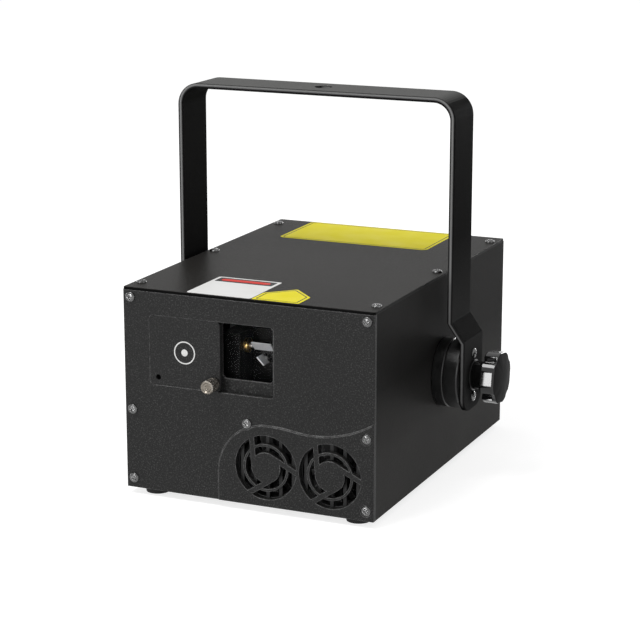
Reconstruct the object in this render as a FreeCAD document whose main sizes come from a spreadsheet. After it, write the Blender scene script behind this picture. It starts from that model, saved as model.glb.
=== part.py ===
import FreeCAD, Part
import math
import operator
import os
import Sketcher
from types import SimpleNamespace

# Laser show projector in a flat-bar tilt bracket. Millimetres, +Z up, the front faces -Y.
# The origin lies on the standing surface, in the middle of the whole object's box.

SIZES = {
    # case
    "case_width": 200,
    "case_depth": 275,
    "case_height": 154,
    "cover_thickness": 2,
    "front_thickness": 3,
    "rear_thickness": 2,
    "bottom_thickness": 2,
    "side_wall": 2.5,
    "rib_reach": 8.8,
    "rib_height": 10.8,
    "cover_corner": 1.5,
    "edge_round": 0.5,
    # case screws
    "screw_radius": 2,
    "screw_length": 10,
    "screw_head_radius": 3.8,
    "screw_head_height": 1.8,
    "screw_inset": 6,
    "screw_gap": 0.15,
    "head_gap": 0.4,
    "cover_screw_inset": 17.5,
    "bottom_screw_inset": 40,
    # feet
    "foot_height": 5.5,
    "foot_radius": 10,
    "foot_draft": 1,
    "foot_web": 1.8,
    "foot_inset_x": 18,
    "foot_inset_y": 15,
    "foot_screw_length": 6,
    # fans behind the raised field of the front panel
    "fan_size": 50,
    "fan_depth": 15,
    "fan_lift": 2.7,
    "fan_side_gap": 0.2,
    "fan_spacing_gap": 0.7,
    "fan_wall": 1.3,
    "fan_screw_inset": 5,
    "fan_screw_radius": 1.5,
    "fan_screw_head_radius": 2.8,
    "fan_screw_head_height": 1.6,
    "stator_radius": 10,
    "stator_depth": 3,
    "strut_width": 4,
    "axle_radius": 1.5,
    "running_gap": 0.05,
    "rotor_radius": 11.5,
    "rotor_end_gap": 1,
    "blade_tip_gap": 1.2,
    "blade_chord": 9,
    "blade_thickness": 1.2,
    "guard_thickness": 1.2,
    "guard_bar": 2.7,
    "guard_pitch": 10.2,
    # grille slots
    "grille_rim": 0.7,
    "grille_outer_slot": 6.3,
    "grille_ring": 1.8,
    "grille_inner_slot": 4.7,
    "spoke_width": 3.8,
    # raised field with its wavy upper edge
    "raised_height": 1,
    "raised_bevel": 0.8,
    "wave_margin": 14,
    "wave_head": 7,
    "wave_radius": 40,
    "wave_turn": 21.2,
    "wave_fall": 1.8,
    "wave_rise": 12,
    # shutter and aperture
    "port_left": 21.3,
    "port_top": 19.4,
    "port_width": 100.3,
    "port_rise": 16,
    "port_corner": 3,
    "shutter_width": 57.2,
    "shutter_gap": 0.25,
    "shutter_lip": 3,
    "shutter_lip_thickness": 1.2,
    "window_width": 40.3,
    "window_side": 2.7,
    "window_rise": 10,
    "window_head": 0.6,
    "window_corner": 3.5,
    "aperture_margin": 8,
    "aperture_floor": 1.6,
    "glass_thickness": 2,
    "glass_lap": 2.5,
    "glass_gap": 0.2,
    # thumbscrew that clamps the shutter
    "thumb_inset": 5.2,
    "thumb_rise": 6,
    "thumb_radius": 5.2,
    "thumb_head": 11,
    "thumb_shank_radius": 2,
    "collar_radius": 4.4,
    "collar_thickness": 1,
    "spare_hole_inset": 6.6,
    # tilt bracket and clamp
    "bracket_height": 289,
    "bar_width": 40,
    "bar_thickness": 4,
    "leg_gap": 9.8,
    "tab_gap": 20.3,
    "tab_drop": 26.5,
    "tab_corner": 13,
    "joggle_low": 28,
    "joggle_high": 42.7,
    "bend_radius": 13,
    "joggle_radius": 4,
    "clamp_hole_radius": 6.5,
    "disc_radius": 26.5,
    "tilt_disc_thickness": 9,
    "disc_chamfer": 0.8,
    "disc_screw_offset": 17,
    "stud_radius": 4,
    "stud_gap": 0.3,
    "nut_flat": 13,
    "nut_height": 6.5,
    "nut_room": 1,
    "washer_radius": 12,
    "washer_thickness": 1.4,
    "hub_radius": 11,
    "hub_length": 10.2,
    "knob_radius": 20,
    "knob_depth": 13,
    "notch_width": 9,
    "notch_radius": 14.5,
    "knob_round": 1.2,
    "stud_in_knob": 16,
    # optics
    "plate_gap": 1.3,
    "plate_thickness": 10,
    "plate_side_gap": 0.3,
    "beam_height": 36,
    "scan_setback": 28,
    "scan_offset_x": 1.2,
    "scan_rise": 10,
    "galvo_radius": 7,
    "galvo_length": 26,
    "galvo_nose_radius": 5.5,
    "galvo_nose_length": 3,
    "galvo_shaft_radius": 1.5,
    "galvo_shaft_bite": 8,
    "galvo_shaft_reach": 2.5,
    "galvo_wall": 4,
    "galvo_grip": 14,
    "mirror_y_length": 16,
    "mirror_y_width": 9,
    "mirror_x_length": 9,
    "mirror_x_width": 8,
    "scan_mirror_thickness": 1,
    "laser_length": 62,
    "laser_height": 48,
    "laser_nose_radius": 6,
    "laser_nose_length": 5,
    "laser_gap": 14,
    "laser_row_start": 75,
    "laser_board_gap": 34.4,
    "laser_end_x": 12,
    "fin_depth": 5,
    "beam_line_x": 52,
    "beam_mirror_width": 16,
    "beam_mirror_height": 16,
    "beam_mirror_thickness": 2,
    "holder_thickness": 8,
    # electronics
    "board_thickness": 1.6,
    "control_board_gap": 16,
    "driver_board_width": 110,
    "driver_board_height": 55,
    "driver_board_gap": 32,
    "supply_width": 98,
    "supply_height": 40,
    "supply_wall": 1.2,
    "supply_front_gap": 60,
    "supply_rear_gap": 41,
    # rear fittings
    "inlet_rise": 30,
    "inlet_flange_width": 36,
    "inlet_flange_height": 30,
    "inlet_flange_thickness": 2.5,
    "inlet_body_width": 30,
    "inlet_body_height": 22,
    "inlet_depth": 24,
    "inlet_cavity_width": 24,
    "inlet_cavity_height": 16,
    "inlet_cavity_depth": 18,
    "fit_gap": 0.2,
    "switch_rise": 30,
    "switch_flange_width": 21,
    "switch_flange_height": 27,
    "switch_flange_thickness": 2,
    "switch_wall": 2,
    "switch_depth": 20,
    "rocker_width": 12,
    "rocker_half_height": 8.2,
    "rocker_travel_gap": 1.1,
    "rocker_high": 4.2,
    "rocker_mid": 2,
    "rocker_low": 0.9,
    "rocker_root": 5,
    "signal_drop": 46,
    "signal_pitch": 36,
    "signal_flange_width": 26,
    "signal_flange_height": 31,
    "signal_flange_thickness": 2,
    "signal_radius": 11.8,
    "signal_cavity_radius": 9.4,
    "signal_cavity_depth": 14,
    "signal_depth": 20,
    "contact_radius": 1.2,
    "contact_circle": 5,
    "link_drop": 8,
    "link_flange_width": 53,
    "link_flange_height": 12.5,
    "link_flange_thickness": 1.2,
    "link_shell_width": 39,
    "link_shell_height": 8.4,
    "link_slant": 1.6,
    "link_reach": 6,
    "lock_drop": 52,
    "lock_radius": 9.5,
    "lock_reach": 5,
    "lock_body_radius": 8.5,
    "lock_depth": 22,
    "key_radius": 3.9,
    "key_gap": 0.08,
    "key_bite": 8,
    "key_neck": 5,
    "key_bow_length": 15,
    "key_bow_width": 20,
    "key_bow_thickness": 2.4,
    "key_bow_corner": 5,
    "display_drop": 32,
    "display_width": 44,
    "display_height": 17,
    "display_lap": 2,
    "display_thickness": 1.5,
    "button_space": 2.2,
    "button_pitch": 11,
    "button_radius": 3.6,
    "button_flange": 1.2,
    "button_flange_thickness": 1,
    "button_reach": 1.8,
    "button_gap": 0.3,
    "eye_drop": 14,
    "eye_base_width": 26,
    "eye_base_height": 14,
    "eye_base_thickness": 3,
    "eye_thickness": 4,
    "eye_reach": 19,
    "eye_hole_radius": 5.5,
    "eye_wall": 4,
    "vent_width": 3,
    "vent_rise": 15,
    "vent_head": 0.75,
}

SPOKE_ANGLES = (64, 184, 304)
BLADE_COUNT = 7
BLADE_PITCH = 38
VENT_COUNT = 10
FIN_COUNT = 5
NOTCH_COUNT = 4
NUT_SIDES = 6
CONTACT_ANGLES = (210, 330, 90)
SIDES = {"left": -1, "right": 1}
REAR_SHARES = {"signal": -0.72, "inlet": -0.58, "switch": -0.16, "display": 0.16, "link": 0.49}
VENT_SHARES = (0.16, 0.82)
OVERCUT = 1
MIRROR_ANGLE = 45
LOBE_TURN = 33
TOUCH = 0.01

doc = FreeCAD.newDocument("laser_show_projector")
sheet = doc.addObject("Spreadsheet::Sheet", "sizes")
for row, (alias, number) in enumerate(SIZES.items(), start=1):
    sheet.set("A" + str(row), alias)
    sheet.set("B" + str(row), str(number))
    sheet.setAlias("B" + str(row), alias)
doc.recompute()


class Size:
    """A length of the sheet, or one worked out from such lengths: its value and its formula."""

    def __init__(self, value, text):
        self.value = value
        self.text = text

    def __add__(self, other):
        return combine(self, "+", other)

    def __radd__(self, other):
        return combine(other, "+", self)

    def __sub__(self, other):
        return combine(self, "-", other)

    def __rsub__(self, other):
        return combine(other, "-", self)

    def __mul__(self, other):
        return combine(self, "*", other)

    def __rmul__(self, other):
        return combine(other, "*", self)

    def __truediv__(self, other):
        return combine(self, "/", other)

    def __neg__(self):
        return combine(0, "-", self)


ACTIONS = {"+": operator.add, "-": operator.sub, "*": operator.mul, "/": operator.truediv}


def as_size(item):
    return item if isinstance(item, Size) else Size(item, "(%.9g)" % item)


def combine(left, sign, right):
    left = as_size(left)
    right = as_size(right)
    value = ACTIONS[sign](left.value, right.value)
    return Size(value, "(" + left.text + " " + sign + " " + right.text + ")")


def root(item):
    return Size(math.sqrt(item.value), "sqrt" + item.text)


s = SimpleNamespace(**{alias: Size(sheet.get(alias), "sizes." + alias) for alias in SIZES})
kept = {}


def keep(node, item):
    """Name a finished piece after its node."""
    item.Label = node
    kept[node] = item
    return item


def bind(item, formulas):
    for name, size in formulas.items():
        item.setExpression(name, as_size(size).text)


def place(item, x, y, z, rotation=None):
    if rotation is not None:
        item.Placement.Rotation = rotation
    bind(item, {"Placement.Base.x": x, "Placement.Base.y": y, "Placement.Base.z": z})
    return item


# solids from primitives and booleans

TURNS = {
    "X": FreeCAD.Rotation(FreeCAD.Vector(0, 1, 0), 90),
    "-X": FreeCAD.Rotation(FreeCAD.Vector(0, 1, 0), -90),
    "Y": FreeCAD.Rotation(FreeCAD.Vector(1, 0, 0), -90),
    "Z": FreeCAD.Rotation(),
}


def box(name, xs, ys, zs):
    item = doc.addObject("Part::Box", name)
    lengths = [as_size(high) - low for low, high in (xs, ys, zs)]
    bind(item, dict(zip(("Length", "Width", "Height"), lengths)))
    return place(item, xs[0], ys[0], zs[0])


def rod(name, axis, radius, span, centre):
    """A round bar along an axis, from the span's start to its end, centred on the other two axes."""
    item = doc.addObject("Part::Cylinder", name)
    bind(item, {"Radius": radius, "Height": as_size(span[1]) - span[0]})
    at = list(centre)
    at.insert("XYZ".index(axis), span[0])
    return place(item, *at, rotation=TURNS[axis])


def fuse(name, *items):
    item = doc.addObject("Part::MultiFuse", name)
    item.Shapes = list(items)
    return item


def cut(name, base, *tools):
    item = doc.addObject("Part::Cut", name)
    item.Base = base
    item.Tool = tools[0] if len(tools) == 1 else fuse(name + "_cutters", *tools)
    return item


def group(name, *items):
    item = doc.addObject("Part::Compound", name)
    item.Links = list(items)
    return item


def ring(name, axis, outer, inner, span, centre):
    overrun = (span[0] - OVERCUT, span[1] + OVERCUT)
    blank = rod(name + "_disc", axis, outer, span, centre)
    return cut(name, blank, rod(name + "_bore", axis, inner, overrun, centre))


def about(centre, width):
    return (centre - width / 2, centre + width / 2)


def outward(sign, near, far):
    """A span along X on the left or right side, given by its distances from the middle."""
    return (near, far) if sign > 0 else (-far, -near)


# bodies from sketches

PLANES = {"X": ("YZ_Plane", 1), "Y": ("XZ_Plane", -1), "Z": ("XY_Plane", 1)}


def sketch_on(body, axis, level):
    role, sign = PLANES[axis]
    drawing = body.newObject("Sketcher::SketchObject", body.Name + "_sketch")
    drawing.AttachmentSupport = [(next(f for f in body.Origin.OriginFeatures if f.Role == role), "")]
    drawing.MapMode = "FlatFace"
    bind(drawing, {"AttachmentOffset.Base.z": sign * as_size(level)})
    return drawing


def limit(drawing, kind, size, *where):
    size = as_size(size)
    index = drawing.addConstraint(Sketcher.Constraint(kind, *where, size.value))
    drawing.setExpression("Constraints[%d]" % index, size.text)


def hold(drawing, geometry, end, x, y):
    limit(drawing, "DistanceX", x, -1, 1, geometry, end)
    limit(drawing, "DistanceY", y, -1, 1, geometry, end)


def vector(x, y):
    return FreeCAD.Vector(as_size(x).value, as_size(y).value, 0)


def outline(drawing, points, bulges=None):
    """A closed outline through points. A bulge (radius, side) makes the stretch after a point an arc."""
    bulges = bulges or {}
    count = len(points)
    for index, point in enumerate(points):
        start = vector(*point)
        end = vector(*points[(index + 1) % count])
        if index in bulges:
            radius, side = bulges[index]
            half = (end - start) / 2
            normal = FreeCAD.Vector(-half.y, half.x, 0).normalize()
            rise = radius.value - math.sqrt(radius.value ** 2 - half.Length ** 2)
            middle = start + half + normal * (rise * side)
            drawing.addGeometry(Part.ArcOfCircle(start, middle, end))
        else:
            drawing.addGeometry(Part.LineSegment(start, end))
    ends = [arc_ends(drawing, index, vector(*points[index])) for index in range(count)]
    for index, point in enumerate(points):
        following = (index + 1) % count
        joint = (index, ends[index][1], following, ends[following][0])
        drawing.addConstraint(Sketcher.Constraint("Coincident", *joint))
        hold(drawing, index, ends[index][0], *point)
        if index in bulges:
            limit(drawing, "Radius", bulges[index][0], index)


def arc_ends(drawing, index, start):
    """Which end of a stretch is its start: arcs are stored turning left, so theirs may be swapped."""
    near = (drawing.getPoint(index, 1) - start).Length < (drawing.getPoint(index, 2) - start).Length
    return (1, 2) if near else (2, 1)


def circle(drawing, radius, x=0, y=0):
    index = drawing.addGeometry(Part.Circle(vector(x, y), FreeCAD.Vector(0, 0, 1), as_size(radius).value))
    hold(drawing, index, 3, x, y)
    limit(drawing, "Radius", radius, index)


def pad(body, drawing, axis, length):
    """Raise a sketch along its axis."""
    feature = body.newObject("PartDesign::Pad", body.Name + "_pad")
    feature.Profile = drawing
    feature.Reversed = PLANES[axis][1] < 0
    bind(feature, {"Length": length})
    body.Tip = feature
    return feature


def prism(name, axis, points, span, bulges=None):
    """A body with one outline carried along an axis."""
    body = doc.addObject("PartDesign::Body", name)
    drawing = sketch_on(body, axis, span[0])
    outline(drawing, points, bulges)
    pad(body, drawing, axis, as_size(span[1]) - span[0])
    return body


def rectangle(us, vs):
    return [(us[0], vs[0]), (us[1], vs[0]), (us[1], vs[1]), (us[0], vs[1])]


def edges_of(shape, wanted):
    return ["Edge%d" % index for index, edge in enumerate(shape.Edges, start=1) if wanted(edge)]


def along(axis):
    direction = FreeCAD.Vector(*[float(letter == axis) for letter in "XYZ"])

    def wanted(edge):
        line = isinstance(edge.Curve, Part.Line)
        return line and abs(edge.Curve.Direction.dot(direction)) > 1 - TOUCH
    return wanted


def soften(body, kind, size, wanted):
    """Round ("Fillet") or bevel ("Chamfer") the edges of a body that are wanted."""
    doc.recompute()
    base = body.Tip
    feature = body.newObject("PartDesign::" + kind, body.Name + "_" + kind.lower())
    feature.Base = (base, edges_of(base.Shape, wanted))
    bind(feature, {"Radius" if kind == "Fillet" else "Size": size})
    body.Tip = feature
    return feature


def slab(name, axis, us, vs, span, corner):
    """A flat plate square to an axis, with rounded corners."""
    body = prism(name, axis, rectangle(us, vs), span)
    soften(body, "Fillet", corner, along(axis))
    return body


# places that several pieces share

half = s.case_width / 2
thumb_reach = s.collar_thickness + s.thumb_head
key_reach = s.lock_reach + s.key_neck + s.key_bow_length
front = (thumb_reach - key_reach - s.case_depth) / 2
back = front + s.case_depth
middle_y = front + s.case_depth / 2
floor = s.foot_height
top = floor + s.case_height
inner_front = front + s.front_thickness
inner_back = back - s.rear_thickness
under_cover = top - s.cover_thickness
over_bottom = floor + s.bottom_thickness
inner_side = half - s.side_wall
rib_x = half - s.screw_inset
rib_top = under_cover - s.rib_height / 2
rib_bottom = over_bottom + s.rib_height / 2
pivot_z = floor + s.case_height / 2

fan_z = over_bottom + s.fan_lift + s.fan_size / 2
fan_right = half - s.rib_reach - s.fan_side_gap - s.fan_size / 2
fan_left = fan_right - s.fan_size - s.fan_spacing_gap
fan_places = {"left": fan_left, "right": fan_right}
plate_low = fan_z + s.fan_size / 2 + s.plate_gap
plate_top = plate_low + s.plate_thickness
plate_row = plate_low + s.plate_thickness / 2

# screws: pan heads seated on a face, shanks running into the piece behind it


def screw(name, axis, way, seat, centre, radius, length, head_radius, head_height):
    tip = seat + way * length
    crown = seat - way * head_height
    shank = rod(name + "_shank", axis, radius, (seat, tip) if way > 0 else (tip, seat), centre)
    head = rod(name + "_head", axis, head_radius, (crown, seat) if way > 0 else (seat, crown), centre)
    return fuse(name, shank, head)


def case_screw(axis, way, seat, centre, length=s.screw_length):
    head = (s.screw_head_radius, s.screw_head_height)
    return screw("screw", axis, way, seat, centre, s.screw_radius, length, *head)


def screw_hole(axis, span, centre):
    return rod("screw_hole", axis, s.screw_radius + s.screw_gap, span, centre)


panel_places = [(sign * rib_x, z) for sign in (-1, 1) for z in (rib_top, plate_row, rib_bottom)]
panel_places.append((as_size(0), plate_row))
plate_places = [(sign * rib_x, plate_row) for sign in (-1, 0, 1)]
cover_rows = (front + s.cover_screw_inset, middle_y, back - s.cover_screw_inset)
bottom_rows = (front + s.bottom_screw_inset, middle_y, back - s.bottom_screw_inset)
cover_places = [(sign * rib_x, y) for sign in (-1, 1) for y in cover_rows]
bottom_places = [(sign * rib_x, y) for sign in (-1, 1) for y in bottom_rows]
foot_xs = [sign * (half - s.foot_inset_x) for sign in (-1, 1)]
foot_places = [(x, y) for x in foot_xs for y in (front + s.foot_inset_y, back - s.foot_inset_y)]

case_screws = [case_screw("Y", 1, front, at) for at in panel_places]
case_screws += [case_screw("Y", -1, back, at) for at in panel_places]
case_screws += [case_screw("Z", -1, top, at) for at in cover_places]
case_screws += [case_screw("Z", 1, floor, at) for at in bottom_places]
keep("case_screws", group("case_screws", *case_screws))

# feet: tapered rubber discs, each held by a screw sunk from below

foot_seat = floor - s.foot_web
feet = []
for at in foot_places:
    foot = doc.addObject("Part::Cone", "foot")
    bind(foot, {"Radius1": s.foot_radius - s.foot_draft, "Radius2": s.foot_radius, "Height": s.foot_height})
    place(foot, at[0], at[1], floor - s.foot_height)
    well_z = (floor - s.foot_height - OVERCUT, foot_seat)
    well = rod("foot_well", "Z", s.screw_head_radius + s.head_gap, well_z, at)
    feet.append(cut("foot_body", foot, well, screw_hole("Z", (foot_seat - OVERCUT, floor + OVERCUT), at)))
keep("rubber_feet", group("rubber_feet", *feet))
foot_screws = [case_screw("Z", 1, foot_seat, at, s.foot_screw_length) for at in foot_places]
keep("foot_screws", group("foot_screws", *foot_screws))

# bottom plate between the side panels

through_bottom = (floor - OVERCUT, over_bottom + OVERCUT)
bottom = box("bottom_blank", (-inner_side, inner_side), (inner_front, inner_back), (floor, over_bottom))
bottom_holes = [screw_hole("Z", through_bottom, at) for at in bottom_places + foot_places]
keep("bottom_plate", cut("bottom_plate", bottom, *bottom_holes))

# side panels: a wall with a screw rib along its top and bottom

stud_hole_radius = s.stud_radius + s.stud_gap
for side, sign in SIDES.items():
    rib_inner = half - s.rib_reach
    high_ledge = under_cover - s.rib_height
    low_ledge = over_bottom + s.rib_height
    section = [
        (half, floor), (half, under_cover), (rib_inner, under_cover), (rib_inner, high_ledge),
        (inner_side, high_ledge), (inner_side, low_ledge), (rib_inner, low_ledge), (rib_inner, over_bottom),
        (inner_side, over_bottom), (inner_side, floor),
    ]
    panel = prism("side_section", "Y", [(sign * x, z) for x, z in section], (inner_front, inner_back))
    rib_span = (inner_front - OVERCUT, inner_back + OVERCUT)
    ports = [screw_hole("Y", rib_span, (sign * rib_x, z)) for z in (rib_top, rib_bottom)]
    cover_span = (high_ledge - OVERCUT, under_cover + OVERCUT)
    bottom_span = (over_bottom - OVERCUT, low_ledge + OVERCUT)
    ports += [screw_hole("Z", cover_span, (sign * rib_x, y)) for y in cover_rows]
    ports += [screw_hole("Z", bottom_span, (sign * rib_x, y)) for y in bottom_rows]
    stud_span = outward(sign, inner_side - OVERCUT, half + OVERCUT)
    ports.append(rod("stud_hole", "X", stud_hole_radius, stud_span, (middle_y, pivot_z)))
    keep("side_panel_" + side, cut("side_panel_" + side, panel, *ports))

# top cover

cover = slab("cover_blank", "Z", (-half, half), (front, back), (under_cover, top), s.cover_corner)
soften(cover, "Fillet", s.edge_round, lambda edge: edge.BoundBox.ZMin > top.value - s.edge_round.value)
cover_holes = [screw_hole("Z", (under_cover - OVERCUT, top + OVERCUT), at) for at in cover_places]
keep("top_cover", cut("top_cover", cover, *cover_holes))

# front panel: flat plate, raised fan field with a wavy edge, shutter port and two round grilles

wave_left = fan_left - s.fan_size / 2 - s.wave_margin
crest_x = wave_left + s.wave_radius
crest_z = fan_z + s.fan_size / 2 + s.wave_head
turn_radius = (s.wave_turn * s.wave_turn + s.wave_fall * s.wave_fall) / (2 * s.wave_fall)
wave_end = half + OVERCUT
wave_foot = floor - OVERCUT
sweep_run = wave_end - crest_x - s.wave_turn
sweep_climb = s.wave_rise + s.wave_fall
sweep_lift = (sweep_run * s.wave_turn + sweep_climb * (turn_radius - s.wave_fall)) / turn_radius
sweep_radius = (sweep_run * sweep_run + sweep_climb * sweep_climb) / (2 * sweep_lift)
wave = [
    (wave_left, wave_foot), (wave_left, crest_z - s.wave_radius), (crest_x, crest_z),
    (crest_x + s.wave_turn, crest_z - s.wave_fall), (wave_end, crest_z + s.wave_rise), (wave_end, wave_foot),
]
wave_bulges = {1: (s.wave_radius, 1), 2: (turn_radius, 1), 3: (sweep_radius, -1)}
raised_y = front - s.raised_height
field = prism("raised_field", "Y", wave, (raised_y, front), wave_bulges)


def wave_edge(edge):
    """The raised face's edges, but for those that are trimmed off with the panel's right and lower edges."""
    centre = edge.CenterOfMass
    inside = centre.x < half.value and centre.z > floor.value
    return inside and edge.BoundBox.YMax < raised_y.value + TOUCH


soften(field, "Chamfer", s.raised_bevel, wave_edge)
beyond = box("field_side", (half, wave_end + OVERCUT), (raised_y - OVERCUT, front), (wave_foot, top))
below = box("field_foot", (-half, wave_end), (raised_y - OVERCUT, front), (wave_foot - OVERCUT, floor))
trimmed_field = cut("trimmed_field", field, beyond, below)
plate = prism("front_blank", "Y", rectangle((-half, half), (floor, under_cover)), (front, inner_front))


def panel_edge(edge):
    """The flat plate's left and top edges, on its outer face."""
    centre = edge.CenterOfMass
    outer = centre.x < -half.value + TOUCH or centre.z > under_cover.value - TOUCH
    return outer and edge.BoundBox.YMax < front.value + TOUCH


soften(plate, "Fillet", s.edge_round, panel_edge)

left = -half
port_x = (left + s.port_left, left + s.port_left + s.port_width)
port_z = (plate_top + s.port_rise, top - s.port_top)
through_front = (raised_y - OVERCUT, inner_front + OVERCUT)
front_tools = [slab("port_hole", "Y", port_x, port_z, through_front, s.port_corner)]
front_tools += [screw_hole("Y", through_front, at) for at in panel_places]
spot_radius = s.screw_head_radius + s.head_gap
spot_y = (raised_y - OVERCUT, front)
front_tools += [rod("spot_face", "Y", spot_radius, spot_y, at) for at in panel_places]

slot_radii = [s.fan_size / 2 - s.grille_rim]
for step in (s.grille_outer_slot, s.grille_ring, s.grille_inner_slot):
    slot_radii.append(slot_radii[-1] - step)
fan_screw_offset = s.fan_size / 2 - s.fan_screw_inset
fan_corners = [(sx * fan_screw_offset, sz * fan_screw_offset) for sx in (-1, 1) for sz in (-1, 1)]
fan_bite = s.front_thickness / 2
fan_hole_radius = s.fan_screw_radius + s.screw_gap
blind = (inner_front - fan_bite - s.screw_gap, inner_front + OVERCUT)
for fan_x in fan_places.values():
    at = (fan_x, fan_z)
    rings = [ring("slot_ring", "Y", slot_radii[0], slot_radii[1], through_front, at)]
    rings.append(ring("slot_ring", "Y", slot_radii[2], slot_radii[3], through_front, at))
    spokes = []
    for angle in SPOKE_ANGLES:
        spoke = doc.addObject("Part::Box", "spoke")
        bind(spoke, {"Length": slot_radii[0] + OVERCUT, "Height": s.spoke_width})
        bind(spoke, {"Width": through_front[1] - through_front[0] + 2 * OVERCUT})
        stand = slot_radii[3] - s.spoke_width
        spoke_x = fan_x + stand * math.cos(math.radians(angle))
        spoke_z = fan_z + stand * math.sin(math.radians(angle))
        spoke_turn = FreeCAD.Rotation(FreeCAD.Vector(0, 1, 0), 90 - angle)
        spokes.append(place(spoke, spoke_x, through_front[0] - OVERCUT, spoke_z, spoke_turn))
    front_tools.append(cut("grille_slots", fuse("slot_rings", *rings), *spokes))
    for dx, dz in fan_corners:
        front_tools.append(rod("fan_thread", "Y", fan_hole_radius, blind, (fan_x + dx, fan_z + dz)))
keep("front_panel", cut("front_panel", fuse("front_blanks", plate, trimmed_field), *front_tools))

# fan guard: one sheet with upright slots behind both grilles

guard_back = inner_front + s.guard_thickness
guard_x = (fan_left - s.fan_size / 2, fan_right + s.fan_size / 2)
guard_z = about(fan_z, s.fan_size)
guard = box("guard_blank", guard_x, (inner_front, guard_back), guard_z)
through_guard = (inner_front - OVERCUT, guard_back + OVERCUT)
bar_through = (through_guard[0] - OVERCUT, through_guard[1] + OVERCUT)
guard_tools = []
for fan_x in fan_places.values():
    disc = rod("guard_disc", "Y", slot_radii[0], through_guard, (fan_x, fan_z))
    steps = int(2 * slot_radii[0].value / s.guard_pitch.value) // 2 + 1
    bars = []
    for step in range(-steps, steps + 1):
        bar_x = about(fan_x + step * s.guard_pitch, s.guard_bar)
        bars.append(box("guard_bar", bar_x, bar_through, guard_z))
    guard_tools.append(cut("guard_slots", disc, *bars))
    for dx, dz in fan_corners:
        guard_tools.append(rod("guard_hole", "Y", fan_hole_radius, through_guard, (fan_x + dx, fan_z + dz)))
keep("fan_guard", cut("fan_guard", guard, *guard_tools))

# fans: square frames with a stator disc on struts, and bladed rotors running on the stator's axle

fan_back = guard_back + s.fan_depth
stator_y = (fan_back - s.stator_depth, fan_back)
rotor_y = (guard_back + s.rotor_end_gap, stator_y[0] - s.rotor_end_gap)
bore_radius = s.fan_size / 2 - s.fan_wall
frames = []
fan_screws = []
for side, fan_x in fan_places.items():
    at = (fan_x, fan_z)
    outer_x = about(fan_x, s.fan_size)
    through_fan = (guard_back - OVERCUT, fan_back + OVERCUT)
    shell_tools = [rod("fan_bore", "Y", bore_radius, through_fan, at)]
    for dx, dz in fan_corners:
        shell_tools.append(rod("fan_hole", "Y", fan_hole_radius, through_fan, (fan_x + dx, fan_z + dz)))
    shell = cut("fan_shell", box("fan_block", outer_x, (guard_back, fan_back), guard_z), *shell_tools)
    stator = rod("stator", "Y", s.stator_radius, stator_y, at)
    strut_reach = bore_radius + s.fan_wall / 2
    flat_strut = box("strut", about(fan_x, 2 * strut_reach), stator_y, about(fan_z, s.strut_width))
    tall_strut = box("strut", about(fan_x, s.strut_width), stator_y, about(fan_z, 2 * strut_reach))
    axle = rod("axle", "Y", s.axle_radius, (rotor_y[0], stator_y[1]), at)
    frames.append(fuse("fan_frame", shell, stator, flat_strut, tall_strut, axle))
    for dx, dz in fan_corners:
        grip = s.fan_depth + s.guard_thickness + fan_bite
        screw_at = (fan_x + dx, fan_z + dz)
        head = (s.fan_screw_head_radius, s.fan_screw_head_height)
        fan_screws.append(screw("fan_screw", "Y", -1, fan_back, screw_at, s.fan_screw_radius, grip, *head))

    rotor = doc.addObject("PartDesign::Body", "fan_wheel")
    rotor_depth = rotor_y[1] - rotor_y[0]
    hub_sketch = sketch_on(rotor, "Z", 0)
    circle(hub_sketch, s.rotor_radius)
    circle(hub_sketch, s.axle_radius + s.running_gap)
    pad(rotor, hub_sketch, "Z", rotor_depth)
    blade_root = s.rotor_radius - s.blade_thickness
    blade_tip = bore_radius - s.blade_tip_gap
    lean = s.blade_chord / 2 * math.cos(math.radians(BLADE_PITCH))
    climb = s.blade_chord / 2 * math.sin(math.radians(BLADE_PITCH))
    slant = s.blade_thickness / math.cos(math.radians(BLADE_PITCH)) / 2
    blade_mid = rotor_depth / 2
    blade_sketch = sketch_on(rotor, "X", blade_root)
    outline(blade_sketch, [
        (-lean, blade_mid - climb - slant), (lean, blade_mid + climb - slant),
        (lean, blade_mid + climb + slant), (-lean, blade_mid - climb + slant),
    ])
    blade = pad(rotor, blade_sketch, "X", blade_tip - blade_root)
    blades = rotor.newObject("PartDesign::PolarPattern", "blades")
    blades.Originals = [blade]
    blades.Axis = (next(f for f in rotor.Origin.OriginFeatures if f.Role == "Z_Axis"), [""])
    blades.Angle = 360
    blades.Occurrences = BLADE_COUNT
    rotor.Tip = blades
    keep("fan_rotor_" + side, place(rotor, fan_x, rotor_y[0], fan_z, TURNS["Y"]))
keep("fan_frames", group("fan_frames", *frames))
keep("fan_screws", group("fan_screws", *fan_screws))

# shutter: a flush plate with lips above and below, sliding between the front panel and the aperture plate

gap = s.shutter_gap
shutter_x = (port_x[0] + gap, port_x[0] + gap + s.shutter_width)
shutter_z = (port_z[0] + gap, port_z[1] - gap)
lip_y = (inner_front + gap, inner_front + gap + s.shutter_lip_thickness)
lip_z = (port_z[0] - s.shutter_lip, port_z[1] + s.shutter_lip)
pocket_floor = lip_y[1] + gap
thumb_at = (shutter_x[1] - s.thumb_inset, port_z[0] + s.thumb_rise)
spare_at = (shutter_x[0] + s.spare_hole_inset, thumb_at[1])
face_plate = slab("shutter_face", "Y", shutter_x, shutter_z, (front, lip_y[1]), s.port_corner - gap)
shutter = fuse("shutter_blank", face_plate, box("shutter_lip", shutter_x, lip_y, lip_z))
through_shutter = (front - OVERCUT, lip_y[1] + OVERCUT)
thread_radius = s.thumb_shank_radius + s.screw_gap
thumb_hole = rod("thumb_hole", "Y", thread_radius, through_shutter, thumb_at)
spare_hole = rod("spare_hole", "Y", thread_radius, through_shutter, spare_at)
keep("shutter_plate", cut("shutter_plate", shutter, thumb_hole, spare_hole))

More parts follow.
